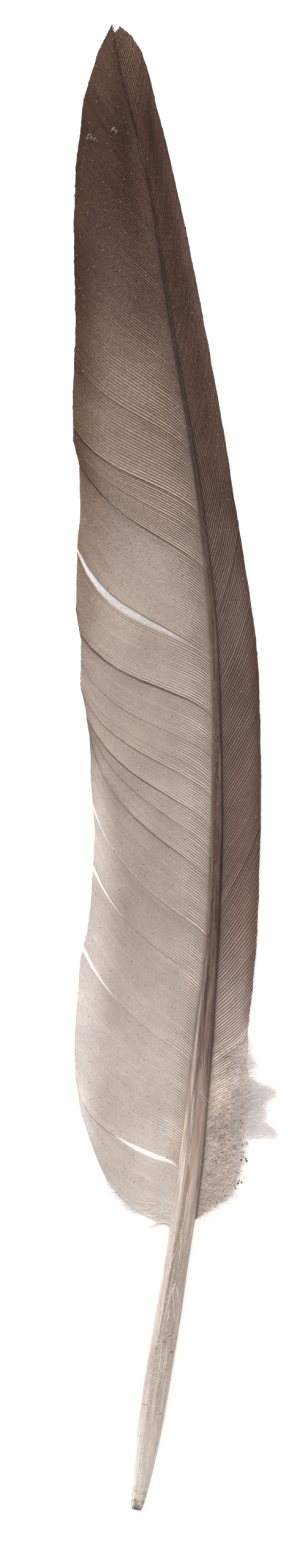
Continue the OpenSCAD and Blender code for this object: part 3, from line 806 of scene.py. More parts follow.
# %% Rings of horn
def section(l):
    """Half width, half depth, middle, change from round to square, and lean, at l."""
    if l <= TUBE_END:
        lean = math.radians(TUBE_LEAN)
        s = l / math.cos(lean)
        w = float(look(s, TUBE))
        return w, w, SWAY[0] + s * math.sin(lean), BARREL, 0.0, lean
    lean = math.atan(float(shaft_x(l + 0.5) - shaft_x(l - 0.5)))
    w, h = float(look(l, WIDTH)) / 2, float(look(l, DEPTH)) / 2
    t = float(look(l, [[58, 0], [82, 1]]))
    return w, h, float(shaft_x(l)), float(belly(l)) + h, t * t * (3 - 2 * t), lean


def crown(share, w, h, morph):
    """Height of the horn's upper side over its middle; share is -1 to 1 across."""
    power = 1 - 0.3 * morph
    c = np.abs(share)**(1 / power)
    dip = 0.3 * morph * h * np.maximum(0, 1 - (share / 0.6)**2)
    return h * np.sqrt(np.maximum(0, 1 - c * c))**power - dip


def ring(l):
    """One ring of the shaft or tube, in mm, and how far across each point is."""
    w, h, x0, z0, morph, lean = section(l)
    share = np.sign(np.cos(angles)) * np.abs(np.cos(angles))**(1 - 0.3 * morph)
    z = np.where(np.sin(angles) > 0, crown(share, w, h, morph),
                 -h * np.abs(np.sin(angles))**(1 - 0.3 * morph))
    scale = 1 + 0.013 * furrows(l)
    x, z = w * share * scale, z * scale
    place = np.stack([x0 + x * math.cos(lean), l - HALF - x * math.sin(lean), z0 + z], -1)
    return place, share


print("half width and half depth at 150:", [round(v, 2) for v in section(150)[:2]], "mm")


# %% Joining rings
def loft(name, rings, across, along, material):
    """Join rings into a closed piece that carries its own across and along."""
    n = len(rings[0])
    faces = [(k * n + i, k * n + (i + 1) % n, (k + 1) * n + (i + 1) % n, (k + 1) * n + i)
             for k in range(len(rings) - 1) for i in range(n)]
    faces += [tuple(range(n))[::-1], tuple((len(rings) - 1) * n + i for i in range(n))]
    mesh = bpy.data.meshes.new(name)
    mesh.from_pydata(np.concatenate(rings) * MM, [], faces)
    for tag, values in (("across", across), ("along", along)):
        layer = mesh.attributes.new(tag, "FLOAT", "POINT")
        layer.data.foreach_set("value", np.concatenate(values).astype(float))
    if volume(mesh) < 0:
        mesh.flip_normals()
    mesh.shade_smooth()
    mesh.set_sharp_from_angle(angle=math.radians(70))
    mesh.materials.append(material)
    piece = bpy.data.objects.new(name, mesh)
    bpy.context.collection.objects.link(piece)
    return piece


# %% Keratin horn: its colours from left to right, the left side painted paler as a highlight
horn, tree, shell = material_with(
    "keratin horn", {"Roughness": 0.45, "IOR": 1.54, "Specular IOR Level": 0.3})
where = put(tree, "ShaderNodeTexCoord").outputs["Object"]
across, along = (put(tree, "ShaderNodeAttribute", attribute_name=tag).outputs["Fac"]
                 for tag in ("across", "along"))
share = put(tree, "ShaderNodeMath", {0: along, 1: 300.0}, operation="DIVIDE").outputs[0]
HORN = {
    "left": [(4, "e8e2da"), (18, "d3c8c0"), (30, "b7aba1"), (38, "d0c3ba"), (57, "c9bbb1"),
             (70, "dbc9bf"), (76, "c9b6aa"), (82, "bca89d"), (95, "ab988e"), (107, "968177"),
             (119, "8a776c"), (132, "7b655c"), (144, "705b53"), (156, "7b665e"), (181, "7e695f"),
             (206, "55413a"), (240, "57443c"), (268, "44312a")],
    "middle": [(4, "d9cec4"), (18, "c1b4a8"), (30, "b3a499"), (45, "a5958a"), (57, "b5a698"),
               (70, "b6a498"), (76, "a59085"), (82, "a48f85"), (88, "8e7b71"), (95, "7b665c"),
               (107, "745f55"), (119, "634e45"), (132, "5e4840"), (156, "69534a"), (181, "644e46"),
               (206, "57423a"), (240, "4c3931"), (268, "45322b")],
    "right": [(4, "cfc3b8"), (18, "c7b7ab"), (30, "baa99c"), (45, "af9c8f"), (57, "b6a398"),
              (70, "a79589"), (76, "9c877a"), (82, "99847a"), (88, "866f64"), (95, "745c52"),
              (107, "755d53"), (119, "5f473e"), (132, "654d44"), (156, "6d554c"), (181, "685143"),
              (206, "4f3a33"), (240, "402e27"), (268, "412e26")],
}
coats = [put(tree, "ShaderNodeValToRGB", {0: share},
             stops=[(l / 300, code) for l, code in HORN[side]]).outputs[0]
         for side in ("left", "middle", "right")]
left, right = (put(tree, "ShaderNodeMapRange", {0: along, 1: 60.0, 2: 92.0, 3: a, 4: b}).outputs[0]
               for a, b in ((-0.46, -0.75), (-0.38, -0.35)))
turn = put(tree, "ShaderNodeMapRange", {0: across, 1: left, 2: right},
           interpolation_type="SMOOTHSTEP").outputs[0]
coat = put(tree, "ShaderNodeMix", {0: turn, 6: coats[0], 7: coats[1]}, data_type="RGBA").outputs[2]
turn = put(tree, "ShaderNodeMapRange", {0: across, 1: 0.15, 2: 0.7},
           interpolation_type="SMOOTHSTEP").outputs[0]
coat = put(tree, "ShaderNodeMix", {0: turn, 6: coat, 7: coats[2]}, data_type="RGBA").outputs[2]

print("stops along the horn:", sum(len(stops) for stops in HORN.values()))

# %% Painted shade: a darker wedge down the barrel, for the shade in its groove
groove_shade_middle = put(tree, "ShaderNodeMapRange", {0: along, 1: 34.0, 2: 68.0, 3: -0.44, 4: -0.02}).outputs[0]
spread = put(tree, "ShaderNodeMapRange", {0: along, 1: 34.0, 2: 68.0, 3: 0.0, 4: 0.25}).outputs[0]
fade = put(tree, "ShaderNodeMapRange", {0: along, 1: 66.0, 2: 84.0, 3: 1.0, 4: 0.0}).outputs[0]
off = put(tree, "ShaderNodeMath", {0: across, 1: groove_shade_middle}, operation="SUBTRACT").outputs[0]
off = put(tree, "ShaderNodeMath", {0: off}, operation="ABSOLUTE").outputs[0]
off = put(tree, "ShaderNodeMath", {0: spread, 1: off}, operation="SUBTRACT").outputs[0]
groove_shade = put(tree, "ShaderNodeMapRange", {0: off, 1: -0.04, 2: 0.05}).outputs[0]
groove_shade = put(tree, "ShaderNodeMath", {0: groove_shade, 1: fade}, operation="MULTIPLY").outputs[0]
groove_shade = put(tree, "ShaderNodeMath", {0: groove_shade, 1: 0.75}, operation="MULTIPLY").outputs[0]
coat = put(tree, "ShaderNodeMix", {0: groove_shade, 6: coat, 7: linear("8b7567")},
           data_type="RGBA").outputs[2]
print("nodes in the horn so far:", len(tree.nodes))

# %% Streaks in the horn
# Streaks along the horn: broad ones, and fine ones 0.2 mm wide on a 5 mm shaft. They
# are faint on the barrel and strong on the dark shaft. Its left edge is painted paler,
# as a highlight, and its right flank darker, as painted shade.
streaks = []
for width, long_mm, seed in ((3.5, 14.0, 2.0), (12.0, 9.0, 7.0)):
    a = put(tree, "ShaderNodeMath", {0: across, 1: width, 2: seed}, operation="MULTIPLY_ADD").outputs[0]
    b = put(tree, "ShaderNodeMath", {0: along, 1: long_mm}, operation="DIVIDE").outputs[0]
    spot = put(tree, "ShaderNodeCombineXYZ", {0: a, 1: b}).outputs[0]
    streaks.append(put(tree, "ShaderNodeTexNoise",
                       {"Vector": spot, "Scale": 1.0, "Detail": 3, "Roughness": 0.6}).outputs[0])
streak = put(tree, "ShaderNodeMath", {0: streaks[0], 1: streaks[1]}, operation="ADD").outputs[0]
strong = put(tree, "ShaderNodeMapRange", {0: along, 1: 56.0, 2: 104.0, 3: 1.0, 4: 3.6}).outputs[0]
gain = put(tree, "ShaderNodeMath", {0: streak, 1: 1.0}, operation="SUBTRACT").outputs[0]
gain = put(tree, "ShaderNodeMath", {0: gain, 1: strong, 2: 1.0}, operation="MULTIPLY_ADD").outputs[0]
gain = put(tree, "ShaderNodeMath", {0: gain, 1: 0.35}, operation="MAXIMUM").outputs[0]
stain = put(tree, "ShaderNodeMapRange", {0: along, 1: 86.0, 2: 108.0, 3: 1.0, 4: 0.82}).outputs[0]
gain = put(tree, "ShaderNodeMath", {0: gain, 1: stain}, operation="MULTIPLY").outputs[0]
# Painted highlight along the left edge of the horn
lit = put(tree, "ShaderNodeMapRange", {0: across, 1: -0.97, 2: -0.82, 3: 1.3, 4: 1.0}).outputs[0]
gain = put(tree, "ShaderNodeMath", {0: gain, 1: lit}, operation="MULTIPLY").outputs[0]
# Painted shade on the right flank, deepest on the dark shaft
deep = put(tree, "ShaderNodeMapRange", {0: along, 1: 84.0, 2: 112.0, 3: 0.9, 4: 0.6}).outputs[0]
shade = put(tree, "ShaderNodeMapRange", {0: across, 1: 0.72, 2: 0.92, 3: 1.0, 4: deep},
            interpolation_type="SMOOTHSTEP").outputs[0]
gain = put(tree, "ShaderNodeMath", {0: gain, 1: shade}, operation="MULTIPLY").outputs[0]
coat = put(tree, "ShaderNodeMix", {0: 1.0, 6: coat, 7: gain}, data_type="RGBA",
           blend_type="MULTIPLY").outputs[2]
print("nodes in the horn so far:", len(tree.nodes))

# %% Specks and flakes of dry skin on the barrel, about 0.4 mm
flake = put(tree, "ShaderNodeTexNoise", {"Vector": where, "Scale": per(0.4), "Detail": 3,
                                         "Roughness": 0.6}).outputs[0]
flake = put(tree, "ShaderNodeMapRange", {0: flake, 1: 0.48, 2: 0.7}).outputs[0]
low = put(tree, "ShaderNodeMapRange", {0: along, 1: 78.0, 2: 40.0, 3: 0.0, 4: 0.36}).outputs[0]
flake = put(tree, "ShaderNodeMath", {0: flake, 1: low}, operation="MULTIPLY").outputs[0]
coat = put(tree, "ShaderNodeMix", {0: flake, 6: coat, 7: linear("f1e8e0")},
           data_type="RGBA").outputs[2]
pit = put(tree, "ShaderNodeTexNoise", {"Vector": where, "Scale": 3300, "Detail": 2,
                                       "Roughness": 0.6}).outputs[0]
pit = put(tree, "ShaderNodeMapRange", {0: pit, 1: 0.4, 2: 0.3, 3: 0.0, 4: 0.3}).outputs[0]
coat = put(tree, "ShaderNodeMix", {0: pit, 6: coat, 7: linear("6f5d51")},
           data_type="RGBA").outputs[2]
grime = put(tree, "ShaderNodeTexNoise", {"Vector": where, "Scale": 900, "Detail": 4}).outputs[0]
grime = put(tree, "ShaderNodeMapRange", {0: grime, 1: 0.47, 2: 0.62}).outputs[0]
foot = put(tree, "ShaderNodeMapRange", {0: along, 1: 5.0, 2: 2.2, 3: 0.1, 4: 0.8}).outputs[0]
grime = put(tree, "ShaderNodeMath", {0: grime, 1: foot}, operation="MULTIPLY").outputs[0]
coat = put(tree, "ShaderNodeMix", {0: grime, 6: coat, 7: linear("8d7a6c")},
           data_type="RGBA").outputs[2]
rim = put(tree, "ShaderNodeMapRange", {0: along, 1: 0.9, 2: 0.2, 3: 0.0, 4: 0.85}).outputs[0]
coat = put(tree, "ShaderNodeMix", {0: rim, 6: coat, 7: linear("5d4a3c")},
           data_type="RGBA").outputs[2]
tree.links.new(coat, shell.inputs["Base Color"])
bump = put(tree, "ShaderNodeBump", {"Strength": 0.6, "Distance": 0.08 * MM, "Height": streak})
tree.links.new(bump.outputs[0], shell.inputs["Normal"])
print("nodes in the horn:", len(tree.nodes))

# %% Shaft and tube
stations = np.arange(TUBE_END, 299.6, STATION)
made = [ring(l) for l in stations]
shaft_horn = loft("shaft_horn", [r for r, _ in made], [x for _, x in made],
                  [np.full(AROUND, l) for l in stations], horn)
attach(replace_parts(shaft_horn, "rachis_cortex"), "shaft")
stations = np.concatenate([[0.0, STATION / 2], np.arange(STATION, TUBE_END + 0.1, STATION)])
made = [ring(l) for l in stations]
quill_tube = loft("quill_tube", [r for r, _ in made], [x for _, x in made],
                  [np.full(AROUND, l) for l in stations], horn)
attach(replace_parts(quill_tube, "calamus"), "shaft")
print("faces in shaft and tube:", len(shaft_horn.data.polygons), len(quill_tube.data.polygons))

# %% [markdown]
# ## Joining the barbs to the shaft
# A vane is rooted all along the shaft, so a panel that is ruffled bends in its
# first few millimetres and swings as one beyond them. The two panels at the tip
# are put on the shaft's body; the others keep their place baked into the mesh.

# %% Panels put in place
for name, piece in [*panels.items(), ("inner_vane_4", gap_shade_film)]:
    if piece is not gap_shade_film:
        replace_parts(piece, name)
    if name in ("inner_vane_1", "outer_vane_1"):
        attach(piece, "shaft")
        continue
    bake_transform(piece)
print("panels that bend:", len(panels) - 2)

# %% [markdown]
# ## Down
# Below the vanes the barbs have no hooks, so they lie loose as down. It is the
# same keratin without pigment, and finer: the eye sees a pale tangle over a
# darker mat. The mat is made of the vane's own strips, and thousands of fine
# hairs, each a very narrow strip on a bent path, lie over it.

# %% Down keratin
down_keratin = keratin_web(
    "down keratin",
    root=[(50, "c7b9b0"), (70, "c4b5aa"), (84, "ccbbb1"), (97, "aa988e")],
    middle=[(50, "ccbfb7"), (70, "c9bbb3"), (84, "d6c7bd"), (97, "b09e94")],
    edge=[(50, "dbcfc8"), (66, "cfc1b8"), (75, "ddd2ca"), (84, "e9dcd6"), (97, "b19f96")],
    ribs=(0.1, 0.5, 0.75, 0.1))
fuzz_keratin = keratin_web(
    "down fuzz keratin",
    root=[(50, "bfb3aa"), (97, "c7b7ad")], middle=[(50, "c5bab2"), (97, "cdbfb6")],
    edge=[(50, "cac0b9"), (97, "d5c9c1")], ribs=(0.3, 1.0, 0.1, 0.1))
hair_keratin = keratin_web(
    "down wisp keratin",
    root=[(50, "dad5d2"), (97, "d5cfcb")], middle=[(50, "dfdad8"), (97, "dbd6d3")],
    edge=[(50, "e3dfdd"), (97, "e1dddb")], ribs=(0.3, 1.0, 0.1, 0.1))
# Light passes through down, so it is never dark underneath; a faint glow stands for that
for material, strength in ((fuzz_keratin, 0.17), (hair_keratin, 0.22)):
    glow = material.node_tree.nodes["Principled BSDF"].inputs
    glow["Emission Color"].default_value = linear("e2dedc")
    glow["Emission Strength"].default_value = strength
# The edge of the mat
DOWN_MAT = [[58.5, 4.2], [61, 7.5], [63.5, 11.5], [66, 12.4], [70, 13.6], [74.5, 13.9],
            [79, 14.6], [83, 15.6], [86, 15.2], [90, 14.8], [97, 14.9], [100, 15.2]]

# %% Mat of down
l = roots(PANELS["outer_down"], [[57, 0.3], [76, 0.36], [88, 0.55], [95, 0.65]])
MAT_ROWS = PANELS["outer_down"][:-1] + [[93.6, 100.6, 53, 0]]  # laps the vane above
mat = np.stack([handles_at(1, MAT_ROWS, DOWN_MAT, OUTER_SLOPE, l[k:len(l) - 1 + k])
                for k in (0, 1)], 1)
tags = {"tone": draw.normal(0, 0.07, len(mat)), "barb": l[:-1] / STREAK_STEP,
        "stand": np.clip((l[:-1] - 74) / 16, 0, 0.8)}  # ribs only near the vane
outer_mat = barbs("outer_down_mat", mat, tags, barb_strip, down_keratin,
                  **{**VANE_SIZES, "Rib at root": 0.12 * MM, "Rib in middle": 0.06 * MM,
                     "Rib fades to": 1.0, "Wander": 0.8 * MM, "Wander length": 4 * MM})
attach(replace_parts(outer_mat, "outer_down"), "shaft")
print("barbs under the down:", len(mat))


# %% Loose hairs
def loose_hairs(rng, start, heading, long_, bend, thick, uneven=0.1):
    """Hairs from points (mm), each with a heading, a length, a bend and a thickness."""
    paths = [start]
    for k in range(3):
        turn = heading + bend * k
        step = np.stack([np.cos(turn), np.sin(turn), rng.uniform(-0.1, 0.12, len(turn))], -1)
        paths.append(paths[-1] + step * (long_ / 3)[:, None])
    path = np.stack(paths, 1)
    path[:, :, 2] = np.maximum(path[:, :, 2], 0.3)
    aside = np.stack([-np.sin(heading), np.cos(heading), 0 * heading], -1)[:, None]
    half = (thick[:, None] * np.array([1, 1, 0.8, 0.25]) / 2)[..., None]
    tags = {"tone": rng.normal(0, uneven, len(turn)), "barb": rng.uniform(0, 500, len(turn)),
            "stand": 0 * turn}
    return np.stack([path - aside * half, path + aside * half], 1), tags


def on_curve(h, u):
    """Points at the shares u of curves with the handles h."""
    return ((1 - u)**3 * h[:, 0] + 3 * u * (1 - u)**2 * h[:, 1]
            + 3 * u * u * (1 - u) * h[:, 2] + u**3 * h[:, 3])


def on_barbs(rng, number, side, name, edge, slope, thickest_at, out=(1.0, 1.0)):
    """Points along the barbs of a panel of down, and the way the barb heads there."""
    rows = PANELS[name]
    low, high = rows[0][0], rows[-1][0]
    l = low + (high - low) * rng.beta(*thickest_at, number)
    h = handles_at(side, rows, edge, slope, l, tuck=0.0)
    u = rng.beta(*out, (number, 1))
    p = on_curve(h, u)
    t = ((1 - u)**2 * (h[:, 1] - h[:, 0]) + 2 * u * (1 - u) * (h[:, 2] - h[:, 1])
         + u * u * (h[:, 3] - h[:, 2]))
    p[:, 2] += camber(p[:, 0], h[:, 0, 0]) + rng.uniform(0.1, 0.5, number)
    return p, np.arctan2(t[:, 1], t[:, 0]), u[:, 0]


# %% A piece of many hairs
HAIR_SIZES = {"Web at root": 0.06 * MM, "Web at end": 0.03 * MM, "Rib at root": 0.03 * MM,
              "Rib in middle": 0.03 * MM, "Rib fades to": 1.0, "Wander": 0.4 * MM,
              "Wander length": 2.5 * MM, "Seed": 8.0}


def hair_piece(name, sets, material):
    """One plain mesh from several sets of loose hairs."""
    hairs = np.concatenate([hair for hair, _ in sets])
    tags = {tag: np.concatenate([t[tag] for _, t in sets]) for tag in sets[0][1]}
    piece = barbs(name, hairs, tags, hair_strip, material, **HAIR_SIZES)
    print(f"{name}: {len(hairs)} hairs, {len(piece.data.polygons)} faces")
    return piece


def wisp(rng, number, start, spread, tip, loose):
    """Hairs that gather from a patch of down into a wisp with its end at tip."""
    p = np.array([*start, 1.4]) + rng.normal(0, 1, (number, 3)) * np.array([spread, spread, 0.3])
    end = np.array([*tip, 1.6]) + rng.normal(0, 1, (number, 3)) * np.array([loose, loose, 0.3])
    way = end - p
    heading = np.arctan2(way[:, 1], way[:, 0])
    long_ = np.linalg.norm(way[:, :2], axis=1) * rng.uniform(0.55, 1.0, number)
    return loose_hairs(rng, p, heading, long_, rng.normal(0, 0.12, number),
                       rng.uniform(0.04, 0.08, number))


# %% The loose down of the narrow vane
rng = np.random.default_rng(11)
p, heading, u = on_barbs(rng, 5600, 1, "outer_down", DOWN_MAT, OUTER_SLOPE, (1.0, 1.7), (1.35, 1.0))
outer_fuzz = hair_piece("outer_down_fuzz", [
    loose_hairs(rng, p, heading + rng.normal(-0.1, 0.5, len(p)), rng.uniform(0.5, 2.0, len(p)),
                rng.normal(0, 0.9, len(p)), rng.uniform(0.03, 0.07, len(p)), 0.24)], fuzz_keratin)
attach(outer_fuzz, "shaft")
p, heading, u = on_barbs(rng, 1800, 1, "outer_down", DOWN_MAT, OUTER_SLOPE, (1.2, 1.2), (7.0, 1.0))
sets = [loose_hairs(rng, p, heading + rng.normal(-0.35, 0.45, len(p)),
                    rng.uniform(0.8, 3.4, len(p)), rng.normal(0, 0.4, len(p)),
                    rng.uniform(0.025, 0.05, len(p))),
        wisp(rng, 520, (14.6, 84.0 - HALF), 1.6, (21.5, 84.3 - HALF), 0.4),
        wisp(rng, 440, (14.6, 77.5 - HALF), 1.4, (21.8, 75.5 - HALF), 0.35),
        wisp(rng, 420, (15.0, 80.5 - HALF), 1.8, (18.6, 80.5 - HALF), 1.5),
        wisp(rng, 220, (14.0, 91.0 - HALF), 0.9, (16.6, 89.0 - HALF), 1.3)]
outer_hairs = hair_piece("outer_down_hairs", sets, hair_keratin)
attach(outer_hairs, "shaft")

# %% The fringe of the wide vane, whose lowest barbs have no hooks either
rng = np.random.default_rng(12)
low = handles_at(-1, PANELS["inner_vane_9"], INNER_EDGE, INNER_SLOPE, rng.uniform(57.6, 60, 420))
u = rng.beta(1.4, 1.8, (420, 1)) * 0.6
p = on_curve(low, u)
p[:, 2] += rng.uniform(0.0, 0.4, 420)
sets = [loose_hairs(rng, p, math.pi - 0.25 - u[:, 0] * 0.3 + rng.normal(0.25, 0.16, 420),
                    rng.uniform(1.5, 4.0, 420), rng.normal(0, 0.2, 420),
                    rng.uniform(0.03, 0.06, 420)),
        wisp(rng, 45, (-1.8, 58.5 - HALF), 0.35, (-6.9, 55.6 - HALF), 0.25),
        wisp(rng, 260, (-4.5, 61.0 - HALF), 0.9, (-10.9, 61.2 - HALF), 0.7)]
inner_hairs = hair_piece("inner_down_hairs", sets, hair_keratin)
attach(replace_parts(inner_hairs, "inner_down"), "shaft")

# %% [markdown]
# ## What is inside the horn
# The engineering model also holds what a cut would show: the cups and strand
# of dried pulp, the scab in the quill's end, and the foam core of the shaft.
# They keep the model's own shapes and only get their finishes here.

# %% Pulp, scab and foam
def dry_stuff(name, pale, dark, grain_mm, rough):
    """A dry, dull tissue with a mottled grain of a given size."""
    made, tree, shell = material_with(name, {"Roughness": rough, "IOR": 1.5})
    where = put(tree, "ShaderNodeTexCoord").outputs["Object"]
    grain = put(tree, "ShaderNodeTexNoise",
                {"Vector": where, "Scale": per(grain_mm), "Detail": 4}).outputs[0]
    coat = put(tree, "ShaderNodeValToRGB", {0: grain}, stops=[(0.35, dark), (0.65, pale)])
    tree.links.new(coat.outputs[0], shell.inputs["Base Color"])
    bump = put(tree, "ShaderNodeBump",
               {"Strength": 0.4, "Distance": 0.1 * grain_mm * MM, "Height": grain})
    tree.links.new(bump.outputs[0], shell.inputs["Normal"])
    return made


FINISHES = {"umbilicus_plug": dry_stuff("dried scab", "7d6350", "4f3b2d", 0.4, 0.85),
            "pulp_cups": dry_stuff("dried pulp membrane", "eadfce", "cbbba5", 0.8, 0.5),
            "pulp_strand": dry_stuff("dried pulp strand", "e4d6c2", "bfae96", 0.5, 0.6),
            "rachis_pith": dry_stuff("horn foam", "f3ebe0", "d9ccba", 0.15, 0.9)}
for node, material in FINISHES.items():
    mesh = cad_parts[node].data
    mesh.materials.clear()
    mesh.materials.append(material)
print("finished inside:", ", ".join(FINISHES))

# %% [markdown]
# ## Signs of age
# An old feather is not clean. Shreds of dried skin lie along the barrel like
# pale threads, the horn is nicked where it was handled, a few hairs have strayed,
# crumbs hang in the down, and the web is torn pale in places. Threads and nicks
# are single strips laid along the top of the horn; crumbs are small knobbly balls.
# Strips on the horn also carry painted light and shade: pale strips on the
# shaft's ridges are partly wear and partly painted highlight, dark strips in
# its furrows are painted shade, and one dark strip under a crack in the barrel
# is its painted shadow.

# %% Threads, nicks and torn web
def on_horn(x, l):
    """A point (mm) on the top of the horn, for X and a length from the quill's end."""
    w, h, x0, z0, morph, _ = section(l)
    share = float(np.clip((x - x0) / w, -0.96, 0.96))
    return [x, l - HALF, z0 + float(crown(share, w, h, morph)) + 0.02]


def threads(paths, thick, tone):
    """Strips that pass through four points (mm) each."""
    p = np.array(paths, float)
    inner = np.stack([-5 * p[:, 0] + 18 * p[:, 1] - 9 * p[:, 2] + 2 * p[:, 3],
                      2 * p[:, 0] - 9 * p[:, 1] + 18 * p[:, 2] - 5 * p[:, 3]], 1) / 6
    path = np.stack([p[:, 0], inner[:, 0], inner[:, 1], p[:, 3]], 1)
    way = path[:, 3] - path[:, 0]
    aside = np.stack([-way[:, 1], way[:, 0], 0 * way[:, 0]], -1)
    aside = (aside / np.linalg.norm(aside, axis=1, keepdims=True))[:, None]
    half = thick * np.array([0.6, 1, 1, 0.4])[:, None] / 2
    tags = {"tone": np.full(len(p), tone), "barb": np.arange(len(p)) * 7.0,
            "stand": np.zeros(len(p))}
    return np.stack([path - aside * half, path + aside * half], 1), tags


def line_on_horn(points):
    """Four points on the horn, evenly along a line of (X, length) pairs."""
    at = np.linspace(0, len(points) - 1, 4)
    xs, ls = (np.interp(at, range(len(points)), [q[k] for q in points]) for k in (0, 1))
    return [on_horn(x, l) for x, l in zip(xs, ls)]


# %% Where the marks lie
# Lines of (X, length from the quill's end), in mm
SHREDS = [[(3.9, 84), (3.22, 74), (2.9, 66)], [(3.22, 66), (2.36, 62.2), (1.86, 57.7), (0.74, 55.1)],
          [(2.2, 72), (1.3, 65), (0.3, 58), (-0.2, 52)],
          [(0.5, 53.9), (0.25, 52.3), (-0.62, 50.2), (-1, 48)],
          [(1.61, 57), (1.24, 52.7), (0.74, 49.8), (0.25, 46.4)], [(0.25, 46.4), (-1.61, 41.2), (-2.85, 35)],
          [(0.12, 45.8), (-0.25, 43.3), (0, 39.9), (-0.25, 36.5)], [(0.25, 45.5), (0.87, 42)],
          [(-1, 40.7), (-1.49, 38.4), (-1.74, 35.3)], [(-2.5, 34), (-3.6, 25)], [(-1.6, 33), (-2.6, 26)],
          [(-1.2, 35.6), (-0.2, 35.8), (0.8, 35)], [(-3.9, 33.4), (-2.6, 33.9), (-1.7, 33.0)]]
# Pale strips on the shaft's ridges: partly wear, partly painted highlight
RIDGE_WEAR_AND_HIGHLIGHTS = [[(7.9, 160), (8.5, 146)], [(8.4, 133), (7.9, 121)], [(7.3, 113), (6.5, 103)],
          [(8.1, 178), (8.3, 166)], [(5.6, 92), (4.7, 83)], [(8.6, 142), (8.3, 131)],
          [(7.07, 118), (5.95, 103.5)], [(7.4, 106), (5.95, 97), (5.3, 91.4)],
          [(8.3, 141), (8.1, 126)], [(7.9, 168), (8.4, 152)], [(8.9, 150), (8.75, 134)],
          [(6.0, 112), (5.1, 99)], [(4.9, 97), (4.0, 84)], [(7.7, 127), (7.3, 119)]]
# Dark nicks; the one at 35 mm is the painted shadow under a crack in the barrel
NICKS_AND_CRACK_SHADE = [[(-6.5, 21.5), (-5.9, 21.2), (-5.5, 21.6)], [(-5.1, 27.7), (-4.7, 27.9)],
         [(-5.9, 25.8), (-5.5, 26.0)], [(-1.3, 35.2), (-0.3, 35.5), (0.75, 34.7)],
         [(-4.0, 32.9), (-3.4, 32.6)], [(-0.76, 31.9), (-0.48, 32.0)], [(-3.0, 19.6), (-2.6, 19.7)],
         [(-5.5, 30.4), (-5.1, 30.2)], [(-2.1, 34.2), (-1.6, 33.9)]]
# Painted shade: dark strips along the shaft's furrows
FURROW_SHADE = [[(8.6, 160), (8.9, 142)], [(8.3, 140), (7.7, 122)], [(7.9, 124), (6.9, 108)],
           [(6.7, 108), (5.8, 96)], [(8.5, 175), (8.9, 160)], [(8.2, 190), (8.5, 176)],
           [(7.3, 112), (6.4, 101)], [(6.2, 100), (5.2, 88)], [(8.75, 158), (9.0, 145)]]
print("marks:", len(SHREDS), len(RIDGE_WEAR_AND_HIGHLIGHTS), len(NICKS_AND_CRACK_SHADE), len(FURROW_SHADE))

# %% Marks cut short and laid on the horn
rng = np.random.default_rng(15)


def broken(lines, long_, aside):
    """Each line cut into short pieces of about a length (mm), a little out of line."""
    pieces = []
    for line in lines:
        xs, ls = zip(*line)
        count = max(1, round((ls[0] - ls[-1]) / long_))
        cuts = np.linspace(0, len(line) - 1, count + 1)
        for a, b in zip(cuts[:-1], cuts[1:]):
            at = np.linspace(a, a + (b - a) * rng.uniform(0.6, 1.05), 4)
            shift = rng.normal(0, aside, 4)
            pieces.append([on_horn(x + dx, l) for x, l, dx in zip(
                np.interp(at, range(len(xs)), xs), np.interp(at, range(len(ls)), ls), shift)])
    return pieces


skin = dry_stuff("dried skin", "efe6dd", "d8ccc1", 0.5, 0.8)
wear_and_highlight = dry_stuff("worn horn and highlight", "b3a196", "7d6a60", 0.5, 0.7)
for name, lines, long_, thick, aside, material in (
        ("horn_threads", SHREDS, 9.0, 0.19, 0.04, skin), ("horn_ridges", RIDGE_WEAR_AND_HIGHLIGHTS, 2.2, 0.11, 0.07, wear_and_highlight),
        ("horn_nicks", NICKS_AND_CRACK_SHADE, 2.0, 0.14, 0.05, FINISHES["umbilicus_plug"]),
        ("horn_furrows", FURROW_SHADE, 3.0, 0.1, 0.07, FINISHES["umbilicus_plug"])):
    marks = hair_piece(name, [threads(broken(lines, long_, aside), thick, 0.0)], material)
    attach(marks, "shaft")

# %% Crumbs in the down
def crumb(x, l, z, size, seed):
    """Corners and faces of a small knobbly ball, in mm."""
    ball = bmesh.new()
    bmesh.ops.create_icosphere(ball, subdivisions=2, radius=1.0)
    lumps = np.random.default_rng(seed)
    for spot in ball.verts:
        spot.co *= size * lumps.uniform(0.6, 1.15) / 2
        spot.co.z *= 0.7
    spots = [(v.co.x + x, v.co.y + l - HALF, v.co.z + z) for v in ball.verts]
    faces = [tuple(v.index for v in f.verts) for f in ball.faces]
    ball.free()
    return spots, faces


rng = np.random.default_rng(14)
CRUMBS = [(14.4, 70.8, 0.9), (13.9, 71.4, 0.5), (13.5, 66.2, 0.8), (12.9, 66.6, 0.5),
          (13.4, 78.4, 0.45), (9.2, 74.9, 0.4), (10.3, 75.6, 0.35), (12.2, 73.1, 0.4),
          (14.6, 74.0, 0.5), (9.6, 72.6, 0.35), (12.4, 65.4, 0.4), (11.5, 79.6, 0.35)]
spots, faces = [], []
grains = [(x + rng.normal(0, 0.3), l + rng.normal(0, 0.3), size * rng.uniform(0.35, 0.7))
          for x, l, size in CRUMBS for _ in range(3)]
grains += [(x, l, size) for x, l, size in zip(rng.uniform(7.5, 14.2, 70), rng.triangular(
    61.5, 70, 82, 70), rng.uniform(0.12, 0.28, 70))] + [(-0.62, 32.0, 0.42)]
for k, (x, l, size) in enumerate(grains):
    z = float(root_z(l) + camber(x, shaft_x(l)) + 0.45)
    z = z if l > TUBE_END else on_horn(x, l)[2]  # one speck sits on the barrel
    ball_spots, ball_faces = crumb(x, l, z, size, 20 + k)
    faces += [tuple(i + len(spots) for i in face) for face in ball_faces]
    spots += ball_spots
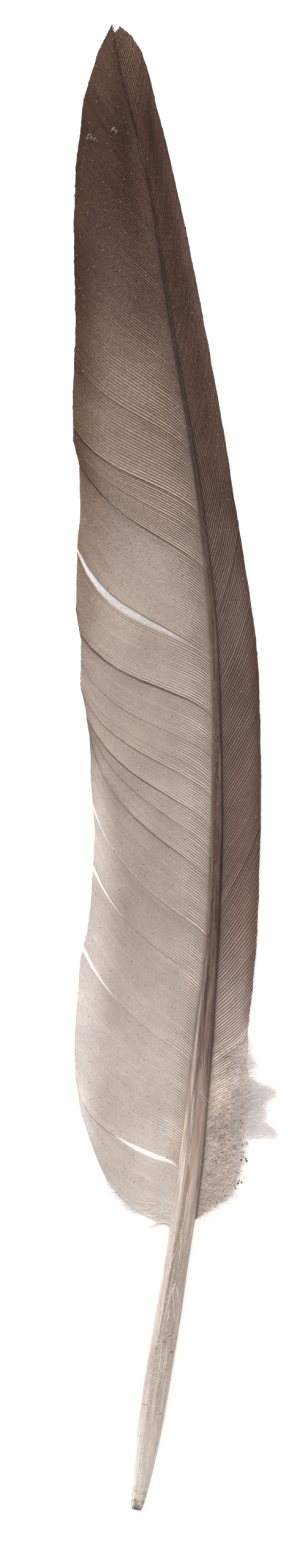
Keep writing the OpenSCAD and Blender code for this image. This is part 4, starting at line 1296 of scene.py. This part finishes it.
mesh = bpy.data.meshes.new("down_crumbs")
mesh.from_pydata(np.array(spots) * MM, [], faces)
if volume(mesh) < 0:
    mesh.flip_normals()
mesh.shade_smooth()
mesh.materials.append(dry_stuff("bark crumb", "7d6453", "49342a", 0.3, 0.9))
crumbs = bpy.data.objects.new("down_crumbs", mesh)
bpy.context.collection.objects.link(crumbs)
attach(crumbs, "shaft")
print("crumbs:", len(grains))

# %% Stray hairs and torn web
rng = np.random.default_rng(13)
STRAYS = [[(4.96, 84.8, 4.7), (5.5, 83.4, 4.8), (6.57, 81.8, 4.3)],
          [(5.2, 84.9, 4.7), (6.2, 83.2, 4.6), (7.0, 82.4, 3.2)],
          [(12.4, 91.8, 3.4), (13.0, 89.3, 3.6), (14.3, 87, 3.6)],
          [(16.2, 77.4, 3.4), (15.3, 75.8, 3.5), (13.8, 74.2, 3.4)]]
paths = [[[x, l - HALF, z] for x, l, z in np.stack(
    [np.interp(np.linspace(0, 2, 4), range(3), axis) for axis in zip(*line)], -1)]
    for line in STRAYS]
sets = [threads(paths, 0.09, -0.1)]
for x, l, spread in ((-12.7, 278.7, 0.35), (-17.1, 277.2, 0.5), (-14.6, 218.8, 0.4),
                     (-19.6, 221.2, 0.25)):
    z = float(root_z(l) + camber(x, shaft_x(l)) + 0.3)
    p = np.array([x, l - HALF, z]) + rng.normal(0, 1, (9, 3)) * np.array([spread, spread * 0.6, 0.05])
    sets.append(loose_hairs(rng, p, rng.normal(0.5, 0.4, 9), rng.uniform(0.3, 0.9, 9),
                            rng.normal(0, 0.3, 9), np.full(9, 0.08)))
    sets[-1][1]["tone"] -= 0.35
strays = hair_piece("stray_hairs", sets, hair_keratin)
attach(strays, "shaft")

# %% [markdown]
# ## Finish
# Both boxes, the engineering one and the visual one, are printed before the frame is closed.
# The visual model must not outgrow the engineering one.

# %% Sizes and finish
new_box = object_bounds()
for label, box in (("engineering", cad_box), ("visual", new_box)):
    print(label, [round((b - a) * 1000, 2) for a, b in zip(*box)], "mm")
